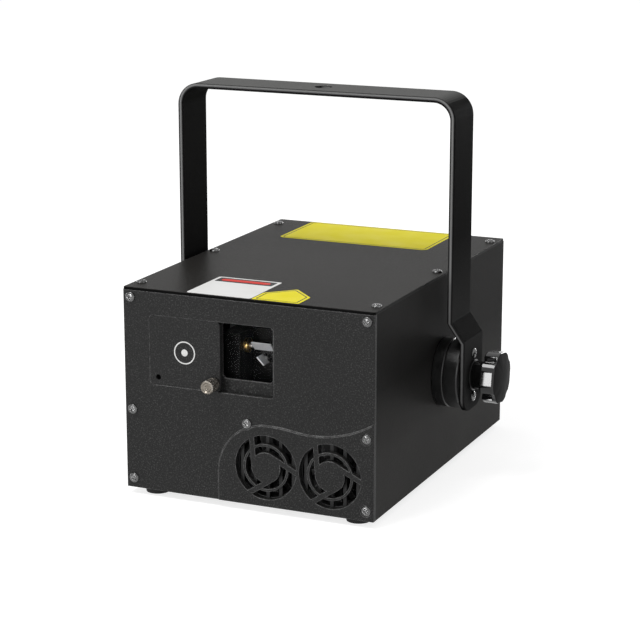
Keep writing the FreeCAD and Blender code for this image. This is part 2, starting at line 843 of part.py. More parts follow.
collar_front = front - s.collar_thickness
collar = ring("thumb_collar", "Y", s.collar_radius, thread_radius, (collar_front, front), thumb_at)
keep("thumb_collar", collar)
thumb_head = rod("thumb_head", "Y", s.thumb_radius, (front - thumb_reach, collar_front), thumb_at)
thumb_shank = rod("thumb_shank", "Y", s.thumb_shank_radius, (collar_front, lip_y[1]), thumb_at)
keep("thumbscrew", fuse("thumbscrew", thumb_head, thumb_shank))

# aperture plate behind the port, with the shutter's track in its face and the glass let into its back

window_right = port_x[1] - s.window_side
window_x = (window_right - s.window_width, window_right)
window_z = (port_z[0] + s.window_rise, port_z[1] - s.window_head)
glass_front = pocket_floor + s.aperture_floor
aperture_back = glass_front + s.glass_thickness
aperture_x = (port_x[0] - s.aperture_margin, port_x[1] + s.aperture_margin)
aperture_z = (lip_z[0] - s.aperture_margin / 2, lip_z[1] + s.aperture_margin / 2)
aperture = box("aperture_blank", aperture_x, (inner_front, aperture_back), aperture_z)
track_z = (lip_z[0] - gap, lip_z[1] + gap)
track = box("track", port_x, (inner_front - OVERCUT, pocket_floor), track_z)
window = slab("window_hole", "Y", window_x, window_z, (front, aperture_back + OVERCUT), s.window_corner)
glass_x = (window_x[0] - s.glass_lap, window_x[1] + s.glass_lap)
glass_z = (window_z[0] - s.glass_lap, window_z[1] + s.glass_lap)
seat_x = (glass_x[0] - s.glass_gap, glass_x[1] + s.glass_gap)
seat_z = (glass_z[0] - s.glass_gap, glass_z[1] + s.glass_gap)
glass_seat = box("glass_seat", seat_x, (glass_front, aperture_back + OVERCUT), seat_z)
keep("aperture_plate", cut("aperture_plate", aperture, track, window, glass_seat))
keep("aperture_glass", box("aperture_glass", glass_x, (glass_front, aperture_back), glass_z))

# tilt clamp: fixed disc, friction disc on the bracket's tab, washer, knob and stud, nut inside the wall

tab_in = half + s.tab_gap
tab_out = tab_in + s.bar_thickness
disc_split = half + s.tilt_disc_thickness
washer_out = tab_out + s.washer_thickness
knob_out = washer_out + s.hub_length + s.knob_depth
pivot = (middle_y, pivot_z)
disc_screw_zs = [pivot_z + sign * s.disc_screw_offset for sign in (-1, 1)]
nut_corner = s.nut_flat / 2 / math.cos(math.pi / NUT_SIDES)


def disc(name, sign, near, far, bores):
    """A friction disc along X, with its rims bevelled."""
    body = doc.addObject("PartDesign::Body", name + "_blank")
    span = outward(sign, near, far)
    drawing = sketch_on(body, "X", span[0])
    circle(drawing, s.disc_radius, middle_y, pivot_z)
    pad(body, drawing, "X", far - near)
    soften(body, "Chamfer", s.disc_chamfer, lambda edge: isinstance(edge.Curve, Part.Circle))
    return cut(name, body, *bores)


def stud_bore(sign, near, far):
    return rod("stud_bore", "X", stud_hole_radius, outward(sign, near - OVERCUT, far + OVERCUT), pivot)


bracket_screws = []
nuts = []
for side, sign in SIDES.items():
    stud_end = inner_side - s.nut_height
    stud_root = washer_out + s.stud_in_knob
    fixed_bores = [stud_bore(sign, half, disc_split)]
    keep("tilt_disc_" + side, disc("tilt_disc_" + side, sign, half, disc_split, fixed_bores))
    friction_bores = [stud_bore(sign, disc_split, tab_in)]
    thread_x = outward(sign, tab_out - s.screw_length - s.screw_gap, tab_in + OVERCUT)
    friction_bores += [screw_hole("X", thread_x, (middle_y, z)) for z in disc_screw_zs]
    keep("friction_disc_" + side, disc("friction_disc_" + side, sign, disc_split, tab_in, friction_bores))
    bracket_screws += [case_screw("X", -sign, sign * tab_out, (middle_y, z)) for z in disc_screw_zs]

    nut_points = []
    for step in range(NUT_SIDES):
        angle = 2 * math.pi * step / NUT_SIDES
        nut_points.append((middle_y + nut_corner * math.cos(angle), pivot_z + nut_corner * math.sin(angle)))
    nut = prism("nut_blank", "X", nut_points, outward(sign, stud_end, inner_side))
    nut_bore_x = outward(sign, stud_end - OVERCUT, inner_side + OVERCUT)
    nuts.append(cut("nut", nut, rod("nut_bore", "X", s.stud_radius + s.running_gap, nut_bore_x, pivot)))

    stud_x = outward(sign, stud_end, stud_root)
    keep("clamp_stud_" + side, rod("clamp_stud_" + side, "X", s.stud_radius, stud_x, pivot))
    washer_x = outward(sign, tab_out, washer_out)
    stud_fit = s.stud_radius + s.running_gap
    keep("knob_washer_" + side, ring("knob_washer_" + side, "X", s.washer_radius, stud_fit, washer_x, pivot))

    knob = doc.addObject("PartDesign::Body", "knob_blank")
    hub_sketch = sketch_on(knob, "Z", 0)
    circle(hub_sketch, s.hub_radius)
    pad(knob, hub_sketch, "Z", s.hub_length)
    head_sketch = sketch_on(knob, "Z", s.hub_length)
    circle(head_sketch, s.knob_radius)
    pad(knob, head_sketch, "Z", s.knob_depth)
    notch_sketch = sketch_on(knob, "Z", s.hub_length + s.knob_depth)
    notch_mouth = s.notch_width / 2
    notch_floor = notch_mouth - s.knob_round
    outline(notch_sketch, [
        (s.notch_radius, -notch_floor), (s.knob_radius + OVERCUT, -notch_mouth),
        (s.knob_radius + OVERCUT, notch_mouth), (s.notch_radius, notch_floor),
    ])
    notch = knob.newObject("PartDesign::Pocket", "notch")
    notch.Profile = notch_sketch
    bind(notch, {"Length": s.knob_depth})
    notches = knob.newObject("PartDesign::PolarPattern", "notches")
    notches.Originals = [notch]
    notches.Axis = (next(f for f in knob.Origin.OriginFeatures if f.Role == "Z_Axis"), [""])
    notches.Angle = 360
    notches.Occurrences = NOTCH_COUNT
    knob.Tip = notches
    crown_z = (s.hub_length + s.knob_depth).value
    soften(knob, "Fillet", s.knob_round, lambda edge: edge.BoundBox.ZMin > crown_z - TOUCH)
    lobe_turn = FreeCAD.Rotation(FreeCAD.Vector(0, 0, 1), LOBE_TURN)
    place(knob, sign * washer_out, middle_y, pivot_z, TURNS["X" if sign > 0 else "-X"].multiply(lobe_turn))
    socket_x = outward(sign, washer_out - OVERCUT, stud_root)
    socket = rod("stud_socket", "X", stud_fit, socket_x, pivot)
    keep("knob_" + side, cut("knob_" + side, knob, socket))
keep("bracket_screws", group("bracket_screws", *bracket_screws))
keep("tilt_nuts", group("tilt_nuts", *nuts))

# bracket: flat bar bent into a U, its legs stepping outwards to the tabs that hold the friction discs

leg_in = half + s.leg_gap
leg_out = leg_in + s.bar_thickness
bar_top = floor + s.bracket_height
bar_under = bar_top - s.bar_thickness
tab_low = pivot_z - s.tab_drop
step_run = s.tab_gap - s.leg_gap
step_climb = s.joggle_high - s.joggle_low
step_shift = s.bar_thickness * (root(step_run * step_run + step_climb * step_climb) - step_climb) / step_run
inner_leg = [
    (tab_in, tab_low), (tab_in, pivot_z + s.joggle_low),
    (leg_in, pivot_z + s.joggle_high), (leg_in, bar_under),
]
outer_leg = [
    (tab_out, tab_low), (tab_out, pivot_z + s.joggle_low + step_shift),
    (leg_out, pivot_z + s.joggle_high + step_shift), (leg_out, bar_top),
]
left_outer = [(-x, z) for x, z in reversed(outer_leg)]
left_inner = [(-x, z) for x, z in inner_leg]
right_inner = list(reversed(inner_leg))
bar_y = about(middle_y, s.bar_width)
bar = prism("bracket_bar", "Y", outer_leg + left_outer + left_inner + right_inner, bar_y)


def at_height(axis, low, high):
    """Straight edges along an axis whose middles lie between two heights."""
    lies_along = along(axis)

    def wanted(edge):
        return lies_along(edge) and low.value < edge.CenterOfMass.z < high.value
    return wanted


def inner_bend(edge):
    return along("Y")(edge) and abs(edge.CenterOfMass.z - bar_under.value) < TOUCH


def outer_bend(edge):
    return along("Y")(edge) and abs(edge.CenterOfMass.z - bar_top.value) < TOUCH


soften(bar, "Fillet", s.bend_radius, inner_bend)
soften(bar, "Fillet", s.bend_radius + s.bar_thickness, outer_bend)
step_low = pivot_z + s.joggle_low - OVERCUT
step_high = pivot_z + s.joggle_high + step_shift + OVERCUT
soften(bar, "Fillet", s.joggle_radius, at_height("Y", step_low, step_high))
soften(bar, "Fillet", s.tab_corner, at_height("X", tab_low - OVERCUT, tab_low + OVERCUT))


def bar_edge(edge):
    """The long edges of the bar, on its front and back faces."""
    middle = edge.valueAt((edge.FirstParameter + edge.LastParameter) / 2)
    flat = edge.BoundBox.YLength < TOUCH
    return flat and min(abs(middle.y - side.value) for side in bar_y) < TOUCH


soften(bar, "Fillet", s.edge_round, bar_edge)
through_bar = (bar_under - OVERCUT, bar_top + OVERCUT)
bar_holes = [rod("clamp_hole", "Z", s.clamp_hole_radius, through_bar, (0, middle_y))]
for sign in SIDES.values():
    tab_x = outward(sign, tab_in - OVERCUT, tab_out + OVERCUT)
    bar_holes.append(rod("stud_hole", "X", stud_hole_radius, tab_x, pivot))
    bar_holes += [screw_hole("X", tab_x, (middle_y, z)) for z in disc_screw_zs]
keep("bracket", cut("bracket", bar, *bar_holes))

# optics plate, held at its front and back edges by the middle row of panel screws, notched round the nuts

plate_x = (s.plate_side_gap - inner_side, inner_side - s.plate_side_gap)
optics = box("optics_blank", plate_x, (inner_front, inner_back), (plate_low, plate_top))
front_threads = (inner_front - OVERCUT, front + s.screw_length + OVERCUT)
rear_threads = (back - s.screw_length - OVERCUT, inner_back + OVERCUT)
plate_holes = [screw_hole("Y", span, at) for span in (front_threads, rear_threads) for at in plate_places]
notch_y = about(middle_y, 2 * (nut_corner + s.nut_room))
notch_z = (plate_low - OVERCUT, plate_top + OVERCUT)
for sign in SIDES.values():
    notch_x = outward(sign, inner_side - s.nut_height - s.nut_room, inner_side)
    plate_holes.append(box("nut_notch", notch_x, notch_y, notch_z))
keep("optics_plate", cut("optics_plate", optics, *plate_holes))

# scanner: the lower mirror swings about Y and throws the beam up to the mirror that swings about X

beam_z = plate_top + s.beam_height
scan_y = front + s.scan_setback
scan_x = window_right - s.window_width / 2 + s.scan_offset_x
upper_z = beam_z + s.scan_rise
wall = s.galvo_wall
nose = s.galvo_nose_length
mirror_start = scan_x - s.mirror_y_length / 2
y_nose = mirror_start - s.galvo_shaft_reach - nose
y_motor = (y_nose - s.galvo_length, y_nose)
mirror_front = scan_y - s.mirror_x_length / 2
x_nose = scan_y + s.mirror_x_length / 2 + s.galvo_shaft_reach
x_motor = (x_nose + nose, x_nose + nose + s.galvo_length)
galvo_bore = s.galvo_radius + s.running_gap

mount_top = upper_z + s.galvo_radius + wall
side_limb_x = (y_motor[1] - s.galvo_grip, y_motor[1])
side_limb_y = (scan_y - s.galvo_radius - wall, x_motor[0])
rear_limb_x = (side_limb_x[0], scan_x + s.galvo_radius + wall)
rear_limb_y = (x_motor[0], x_motor[0] + s.galvo_grip)
side_limb = box("side_limb", side_limb_x, side_limb_y, (plate_top, mount_top))
rear_limb = box("rear_limb", rear_limb_x, rear_limb_y, (plate_top, mount_top))
y_axis = (scan_y, upper_z)
x_axis = (scan_x, beam_z)
y_bore_x = (side_limb_x[0] - OVERCUT, side_limb_x[1] + OVERCUT)
x_bore_y = (rear_limb_y[0] - OVERCUT, rear_limb_y[1] + OVERCUT)
y_bore = rod("galvo_bore", "X", galvo_bore, y_bore_x, y_axis)
x_bore = rod("galvo_bore", "Y", galvo_bore, x_bore_y, x_axis)
keep("galvo_mount", cut("galvo_mount", fuse("galvo_block", side_limb, rear_limb), y_bore, x_bore))

shaft_bore = s.galvo_shaft_radius + s.running_gap
bite = s.galvo_shaft_bite
y_can = rod("galvo_can", "X", s.galvo_radius, y_motor, y_axis)
y_well = rod("shaft_well", "X", shaft_bore, (y_motor[1] - bite, y_motor[1] + OVERCUT), y_axis)
x_can = rod("galvo_can", "Y", s.galvo_radius, x_motor, x_axis)
x_well = rod("shaft_well", "Y", shaft_bore, (x_motor[0] - OVERCUT, x_motor[0] + bite), x_axis)
motors = [cut("galvo_motor", y_can, y_well), cut("galvo_motor", x_can, x_well)]
keep("galvo_motors", group("galvo_motors", *motors))
ring_y = ring("nose_ring", "X", s.galvo_nose_radius, shaft_bore, (y_nose, y_nose + nose), y_axis)
ring_x = ring("nose_ring", "Y", s.galvo_nose_radius, shaft_bore, (x_nose, x_nose + nose), x_axis)
keep("galvo_rings", group("galvo_rings", ring_y, ring_x))
y_shaft_x = (y_motor[1] - bite, mirror_start)
x_shaft_y = (scan_y + s.mirror_x_length / 2, x_motor[0] + bite)
keep("scan_shaft_y", rod("scan_shaft_y", "X", s.galvo_shaft_radius, y_shaft_x, y_axis))
keep("scan_shaft_x", rod("scan_shaft_x", "Y", s.galvo_shaft_radius, x_shaft_y, x_axis))

leaning = math.cos(math.radians(MIRROR_ANGLE))
mirror_y = doc.addObject("Part::Box", "scan_mirror_y")
thick = s.scan_mirror_thickness
bind(mirror_y, {"Length": s.mirror_y_length, "Width": s.mirror_y_width, "Height": thick})
back_step = s.mirror_y_width / 2 * leaning
face_step = thick / 2 * leaning
lean_back = FreeCAD.Rotation(FreeCAD.Vector(1, 0, 0), -MIRROR_ANGLE)
place(mirror_y, mirror_start, scan_y - back_step - face_step, upper_z + back_step - face_step, lean_back)
keep("scan_mirror_y", mirror_y)
mirror_x = doc.addObject("Part::Box", "scan_mirror_x")
bind(mirror_x, {"Length": s.mirror_x_width, "Width": s.mirror_x_length, "Height": thick})
side_step = s.mirror_x_width / 2 * leaning
lean_side = FreeCAD.Rotation(FreeCAD.Vector(0, 1, 0), MIRROR_ANGLE)
place(mirror_x, scan_x - side_step - face_step, mirror_front, beam_z + side_step - face_step, lean_side)
keep("scan_mirror_x", mirror_x)

# laser modules in a row, each a finned block with a nose, and the mirrors that join their beams

colours = ("red", "green", "blue")
driver_y = inner_back - s.driver_board_gap
driver_span = (driver_y - s.board_thickness, driver_y)
row_start = front + s.laser_row_start
row_length = driver_span[0] - s.laser_board_gap - row_start
laser_width = (row_length - (len(colours) - 1) * s.laser_gap) / len(colours)
first_laser_y = row_start + laser_width / 2
laser_ys = [first_laser_y + step * (laser_width + s.laser_gap) for step in range(len(colours))]
laser_x = (s.laser_end_x - s.laser_length, s.laser_end_x)
for colour, y in zip(colours, laser_ys):
    block = box("laser_block", laser_x, about(y, laser_width), (plate_top, plate_top + s.laser_height))
    fin_pitch = s.laser_length / (FIN_COUNT + 1)
    fin_z = (plate_top + s.laser_height - s.fin_depth, plate_top + s.laser_height + OVERCUT)
    fin_y = about(y, laser_width + 2 * OVERCUT)
    slots = []
    for number in range(FIN_COUNT):
        slot_x = about(laser_x[0] + (number + 1) * fin_pitch, fin_pitch / 2)
        slots.append(box("fin_slot", slot_x, fin_y, fin_z))
    snout_x = (laser_x[1], laser_x[1] + s.laser_nose_length)
    snout = rod("laser_nose", "X", s.laser_nose_radius, snout_x, (y, beam_z))
    keep("laser_" + colour, fuse("laser_" + colour, cut("finned_block", block, *slots), snout))


def standing(name, width, thickness, zs, at, angle):
    """An upright plate, centred on a point and turned about Z."""
    item = doc.addObject("Part::Box", name)
    bind(item, {"Length": width, "Width": thickness, "Height": zs[1] - zs[0]})
    cosine = math.cos(math.radians(angle))
    sine = math.sin(math.radians(angle))
    x = at[0] - width / 2 * cosine + thickness / 2 * sine
    y = at[1] - width / 2 * sine - thickness / 2 * cosine
    return place(item, x, y, zs[0], FreeCAD.Rotation(FreeCAD.Vector(0, 0, 1), angle))


mirror_low = beam_z - s.beam_mirror_height / 2
mirror_zs = (mirror_low, mirror_low + s.beam_mirror_height)
holder_zs = (plate_top, mirror_low)
mirror_spots = [((s.beam_line_x, y), -MIRROR_ANGLE) for y in laser_ys]
mirror_spots.append(((s.beam_line_x, scan_y), MIRROR_ANGLE))
holders = []
mirrors = []
for at, angle in mirror_spots:
    holders.append(standing("holder", s.beam_mirror_width, s.holder_thickness, holder_zs, at, angle))
    mirrors.append(standing("mirror", s.beam_mirror_width, s.beam_mirror_thickness, mirror_zs, at, angle))
keep("mirror_holders", group("mirror_holders", *holders))
keep("beam_mirrors", group("beam_mirrors", *mirrors))

# electronics: two boards standing on the optics plate, and the power supply on the bottom plate

control_y = inner_back - s.control_board_gap
control_top = under_cover - s.rib_height
control_span = (control_y - s.board_thickness, control_y)
control_left = half * REAR_SHARES["signal"] + s.signal_pitch + s.signal_flange_width / 2
control_x = (control_left, half - s.rib_reach - s.plate_side_gap)
control = box("control_board", control_x, control_span, (plate_top, control_top))
driver_x = about(as_size(0), s.driver_board_width)
driver = box("driver_board", driver_x, driver_span, (plate_top, plate_top + s.driver_board_height))
supply_y = (front + s.supply_front_gap, back - s.inlet_depth - s.supply_rear_gap)
supply_x = about(as_size(0), s.supply_width)
supply_z = (over_bottom, over_bottom + s.supply_height)
supply_spans = [(low + s.supply_wall, high - s.supply_wall) for low, high in (supply_x, supply_y)]
supply_room = box("supply_room", *supply_spans, (over_bottom - OVERCUT, supply_z[1] - s.supply_wall))
keep("power_supply", cut("power_supply", box("supply_case", supply_x, supply_y, supply_z), supply_room))

# rear fittings, each seated on the rear panel's outer face

signal_x, inlet_x, switch_x, display_x, link_x = [half * share for share in REAR_SHARES.values()]
through_rear = (inner_back - OVERCUT, back + OVERCUT)
rear_tools = [screw_hole("Y", through_rear, at) for at in panel_places]

inlet_z = floor + s.inlet_rise
inlet_flange_y = (back, back + s.inlet_flange_thickness)
inlet_body_y = (back - s.inlet_depth, back)
cavity_floor = inlet_flange_y[1] - s.inlet_cavity_depth
cavity_y = (cavity_floor, inlet_flange_y[1] + OVERCUT)


def inlet_box(name, width, ys, height):
    return box(name, about(inlet_x, width), ys, about(inlet_z, height))


inlet_flange = inlet_box("inlet_flange", s.inlet_flange_width, inlet_flange_y, s.inlet_flange_height)
inlet_body = inlet_box("inlet_body", s.inlet_body_width, inlet_body_y, s.inlet_body_height)
cavity = inlet_box("inlet_cavity", s.inlet_cavity_width, cavity_y, s.inlet_cavity_height)
pin_step = s.inlet_cavity_width / 4
pin_z = about(inlet_z, s.inlet_cavity_height / 4)
pin_y = (cavity_floor, back)
pin_width = s.contact_radius * 2
pins = [box("inlet_pin", about(inlet_x + n * pin_step, pin_width), pin_y, pin_z) for n in (-1, 0, 1)]
inlet_shell = cut("inlet_shell", fuse("inlet_blank", inlet_flange, inlet_body), cavity)
keep("power_inlet", fuse("power_inlet", inlet_shell, *pins))
inlet_room = (s.inlet_body_width + 2 * s.fit_gap, s.inlet_body_height + 2 * s.fit_gap)
rear_tools.append(inlet_box("inlet_hole", inlet_room[0], through_rear, inlet_room[1]))

switch_z = floor + s.switch_rise
switch_y = (back, back + s.switch_flange_thickness)
well_width = s.rocker_width + 2 * s.button_gap
well_height = 2 * (s.rocker_half_height + s.rocker_travel_gap)
body_width = well_width + 2 * s.switch_wall
body_height = well_height + 2 * s.switch_wall
well_y = (back - 2 * s.rocker_root, switch_y[1] + OVERCUT)


def switch_box(name, width, ys, height):
    return box(name, about(switch_x, width), ys, about(switch_z, height))


switch_flange = switch_box("switch_flange", s.switch_flange_width, switch_y, s.switch_flange_height)
switch_body = switch_box("switch_body", body_width, (back - s.switch_depth, back), body_height)
well = switch_box("rocker_well", well_width, well_y, well_height)
pin_x = about(switch_x, well_width + s.switch_wall)
rocker_pin = rod("rocker_pin", "X", s.axle_radius, pin_x, (back, switch_z))
switch_shell = cut("switch_shell", fuse("switch_blank", switch_flange, switch_body), well)
keep("power_switch", fuse("power_switch", switch_shell, rocker_pin))
rocker_points = [
    (back - s.rocker_root, switch_z + s.rocker_root),
    (back - s.rocker_root, switch_z - s.rocker_root),
    (back + s.rocker_low, switch_z - s.rocker_half_height),
    (back + s.rocker_mid, switch_z),
    (back + s.rocker_high, switch_z + s.rocker_half_height),
]
rocker = prism("rocker_blank", "X", rocker_points, about(switch_x, s.rocker_width))
rocker_bore_x = about(switch_x, s.rocker_width + 2 * OVERCUT)
rocker_bore = rod("rocker_bore", "X", s.axle_radius + s.running_gap, rocker_bore_x, (back, switch_z))
keep("power_rocker", cut("power_rocker", rocker, rocker_bore))
switch_room = (body_width + 2 * s.fit_gap, body_height + 2 * s.fit_gap)
rear_tools.append(switch_box("switch_hole", switch_room[0], through_rear, switch_room[1]))

signal_z = top - s.signal_drop
signal_y = (back, back + s.signal_flange_thickness)
flange_z = about(signal_z, s.signal_flange_height)
sockets = []
for number in range(2):
    x = signal_x + number * s.signal_pitch
    at = (x, signal_z)
    flange = box("signal_flange", about(x, s.signal_flange_width), signal_y, flange_z)
    barrel = rod("signal_barrel", "Y", s.signal_radius, (back - s.signal_depth, back), at)
    blank = fuse("signal_blank", flange, barrel)
    contacts = []
    for angle in CONTACT_ANGLES:
        across = s.contact_circle * math.cos(math.radians(angle))
        upward = s.contact_circle * math.sin(math.radians(angle))
        contacts.append((x + across, signal_z + upward))
    deep = (signal_y[1] - s.signal_cavity_depth, signal_y[1] + OVERCUT)
    if number == 0:
        hollow = cut("signal_shell", blank, rod("signal_cavity", "Y", s.signal_cavity_radius, deep, at))
        prongs = [rod("prong", "Y", s.contact_radius, (deep[0], back), spot) for spot in contacts]
        sockets.append(fuse("signal_inlet", hollow, *prongs))
    else:
        contact_fit = s.contact_radius + s.running_gap
        bores = [rod("contact_hole", "Y", contact_fit, deep, spot) for spot in contacts]
        sockets.append(cut("signal_outlet", blank, *bores))
    rear_tools.append(rod("signal_hole", "Y", s.signal_radius + s.fit_gap, through_rear, at))
keep("signal_sockets", group("signal_sockets", *sockets))

link_z = plate_low - s.link_drop
link_y = (back, back + s.link_flange_thickness)
link_flange_x = about(link_x, s.link_flange_width)
link_flange = box("link_flange", link_flange_x, link_y, about(link_z, s.link_flange_height))
wide = s.link_shell_width / 2
narrow = wide - s.link_slant
tall = s.link_shell_height / 2
shell_points = [
    (link_x - narrow, link_z - tall), (link_x + narrow, link_z - tall),
    (link_x + wide, link_z + tall), (link_x - wide, link_z + tall),
]
link_shell = prism("link_shell", "Y", shell_points, (inner_back - s.link_reach, link_y[1] + s.link_reach))
keep("control_connector", fuse("control_connector", link_flange, link_shell))
link_hole_x = about(link_x, s.link_shell_width + 2 * s.fit_gap)
link_hole_z = about(link_z, s.link_shell_height + 2 * s.fit_gap)
rear_tools.append(box("link_hole", link_hole_x, through_rear, link_hole_z))

lock_at = (display_x, top - s.lock_drop)
bezel = rod("lock_bezel", "Y", s.lock_radius, (back, back + s.lock_reach), lock_at)
lock_body = rod("lock_body", "Y", s.lock_body_radius, (back - s.lock_depth, back), lock_at)
key_root = back + s.lock_reach - s.key_bite
key_bore_y = (key_root, back + s.lock_reach + OVERCUT)
key_bore = rod("key_bore", "Y", s.key_radius + s.key_gap, key_bore_y, lock_at)
keep("key_switch", cut("key_switch", fuse("lock_blank", bezel, lock_body), key_bore))
bow_y = (back + s.lock_reach + s.key_neck, back + key_reach)
key_stem = rod("key_stem", "Y", s.key_radius, (key_root, bow_y[0] + s.key_neck / 2), lock_at)
bow_points = rectangle(bow_y, about(lock_at[1], s.key_bow_width))
bow = prism("key_bow", "X", bow_points, about(display_x, s.key_bow_thickness))
soften(bow, "Fillet", s.key_bow_corner, along("X"))
keep("key", fuse("key", key_stem, bow))
rear_tools.append(rod("lock_hole", "Y", s.lock_body_radius + s.fit_gap, through_rear, lock_at))

display_z = top - s.display_drop
glazing_x = about(display_x, s.display_width)
display_y = (inner_back - s.display_thickness, inner_back)
keep("display_window", box("display_window", glazing_x, display_y, about(display_z, s.display_height)))
view_x = about(display_x, s.display_width - 2 * s.display_lap)
view_z = about(display_z, s.display_height - 2 * s.display_lap)
rear_tools.append(box("display_hole", view_x, through_rear, view_z))

button_disc = s.button_radius + s.button_flange
button_base = (glazing_x[1] + s.button_space + button_disc + s.button_pitch, display_z)
button_steps = {"up": (0, 1), "down": (0, -1), "back": (-1, 0), "enter": (1, 0)}
for word, (across, up) in button_steps.items():
    x = button_base[0] + across * s.button_pitch
    z = button_base[1] + up * s.button_pitch
    cap = rod("button_cap", "Y", s.button_radius, (inner_back, back + s.button_reach), (x, z))
    flange_y = (inner_back - s.button_flange_thickness, inner_back)
    flange = rod("button_flange", "Y", button_disc, flange_y, (x, z))
    stem_y = (control_y + s.button_reach, inner_back - s.button_flange_thickness)
    stem = rod("button_stem", "Y", s.button_radius / 2, stem_y, (x, z))
    keep("menu_button_" + word, fuse("menu_button_" + word, cap, flange, stem))
    rear_tools.append(rod("button_hole", "Y", s.button_radius + s.button_gap, through_rear, (x, z)))

eye_z = top - s.eye_drop
eye_base_y = (back, back + s.eye_base_thickness)
eye_base = box("eye_base", about(as_size(0), s.eye_base_width), eye_base_y, about(eye_z, s.eye_base_height))
eye_centre = back + s.eye_reach - s.eye_hole_radius - s.eye_wall
eye_radius = s.eye_hole_radius + s.eye_wall
eye_x = about(as_size(0), s.eye_thickness)
eye_arm = box("eye_arm", eye_x, (eye_base_y[0], eye_centre), about(eye_z, s.eye_base_height))
eye_round = rod("eye_round", "X", eye_radius, eye_x, (eye_centre, eye_z))
eye_bore_x = about(as_size(0), s.eye_thickness + 2 * OVERCUT)
eye_bore = rod("eye_bore", "X", s.eye_hole_radius, eye_bore_x, (eye_centre, eye_z))
keep("safety_eye", cut("safety_eye", fuse("eye_blank", eye_base, eye_arm, eye_round), eye_bore))

vent_z = (floor + s.vent_rise, link_z - s.link_flange_height / 2 - s.vent_head)
vent_start, vent_end = [half * share for share in VENT_SHARES]
vent_pitch = (vent_end - vent_start - s.vent_width) / (VENT_COUNT - 1)
for number in range(VENT_COUNT):
    vent_x = vent_start + number * vent_pitch
    rear_tools.append(box("vent", (vent_x, vent_x + s.vent_width), through_rear, vent_z))

passage_y = (control_span[0] - OVERCUT, control_span[1] + OVERCUT)
passage = rod("lock_passage", "Y", s.lock_body_radius + s.fit_gap, passage_y, lock_at)
keep("circuit_boards", group("circuit_boards", cut("control_panel_board", control, passage), driver))

rear = box("rear_blank", (-half, half), (inner_back, back), (floor, under_cover))
keep("rear_panel", cut("rear_panel", rear, *rear_tools))

# every object has to be sound before anything is written

doc.recompute()
failed = [item.Name for item in doc.Objects if {"Invalid", "Error"} & set(item.State)]
for node, item in kept.items():
    if item.Shape.isNull() or not item.Shape.isValid() or not item.Shape.Solids:
        failed.append(node)
if failed:
    raise RuntimeError("unsound objects: " + ", ".join(failed))

os.makedirs("parts", exist_ok=True)
for node, item in kept.items():
    item.Shape.exportStep("parts/" + node + ".step")
    print(node, len(item.Shape.Solids), round(item.Shape.Volume, 1))
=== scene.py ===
import bmesh
import bpy
import math
import numpy as np
from functools import partial
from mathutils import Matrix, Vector


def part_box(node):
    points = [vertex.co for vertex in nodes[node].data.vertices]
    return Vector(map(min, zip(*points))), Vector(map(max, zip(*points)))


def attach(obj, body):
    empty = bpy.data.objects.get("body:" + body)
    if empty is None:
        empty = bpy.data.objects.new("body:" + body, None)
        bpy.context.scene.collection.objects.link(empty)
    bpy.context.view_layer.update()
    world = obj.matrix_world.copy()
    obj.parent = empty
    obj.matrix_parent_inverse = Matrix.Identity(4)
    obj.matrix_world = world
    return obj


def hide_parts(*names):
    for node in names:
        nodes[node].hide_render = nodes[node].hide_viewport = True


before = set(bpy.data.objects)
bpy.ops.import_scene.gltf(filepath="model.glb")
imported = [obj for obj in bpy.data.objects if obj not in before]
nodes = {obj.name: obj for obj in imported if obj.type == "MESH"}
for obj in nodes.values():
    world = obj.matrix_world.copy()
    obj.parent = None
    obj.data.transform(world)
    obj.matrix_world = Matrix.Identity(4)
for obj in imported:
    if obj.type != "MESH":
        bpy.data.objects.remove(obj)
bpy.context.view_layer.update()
scene = bpy.context.scene
scene.view_settings.view_transform = "Standard"
mm = 0.001
print("frame loaded:", len(nodes), "nodes")

# places in millimetres that several pieces share, as in the solids
case = dict(front=-144.0, back=131.0, floor=5.5, top=159.5, middleY=-6.5, tiltZ=82.5)


def pick(spec, keys):
    return [spec[key] for key in keys.split()]


# each socket takes a plain value, or the output of another node
def feed(tree, sockets, values):
    for name, value in values.items():
        if isinstance(value, bpy.types.NodeSocket):
            tree.links.new(value, sockets[name])
        else:
            sockets[name].default_value = value


def addNode(tree, kind, values=None, **settings):
    node = tree.nodes.new("ShaderNode" + kind)
    for name, value in settings.items():
        setattr(node, name, value)
    feed(tree, node.inputs, values or {})
    return node


def objectPoint(tree):
    return addNode(tree, "TexCoord").outputs["Object"]


def splitVector(tree, vector):
    return addNode(tree, "SeparateXYZ", {0: vector}).outputs


def placeOf(tree):
    return splitVector(tree, objectPoint(tree))


def facingOf(tree, kind="True Normal"):
    return splitVector(tree, addNode(tree, "NewGeometry").outputs[kind])


def mathNode(operation, tree, first, second=0.0, clamp=False):
    return addNode(tree, "Math", {0: first, 1: second}, operation=operation, use_clamp=clamp).outputs[0]


times, plus, minus = partial(mathNode, "MULTIPLY"), partial(mathNode, "ADD"), partial(mathNode, "SUBTRACT")
larger, absolute = partial(mathNode, "MAXIMUM"), partial(mathNode, "ABSOLUTE")


def grey(value, warm=0.0):
    return (value * (1 + warm), value, value * (1 - warm), 1.0)


# a plain number stands for a grey
def paint(value):
    if isinstance(value, float):
        return grey(value)
    return (*value[:3], 1.0) if isinstance(value, tuple) else value


def mix(tree, factor, first, second, blend="MIX"):
    values = {0: factor, 6: paint(first), 7: paint(second)}
    return addNode(tree, "Mix", values, data_type="RGBA", blend_type=blend).outputs[2]


def noise(tree, scale, detail=3.0, rough=0.55, vector=None):
    at = objectPoint(tree) if vector is None else vector
    values = {"Vector": at, "Scale": scale, "Detail": detail, "Roughness": rough}
    return addNode(tree, "TexNoise", values).outputs["Fac"]


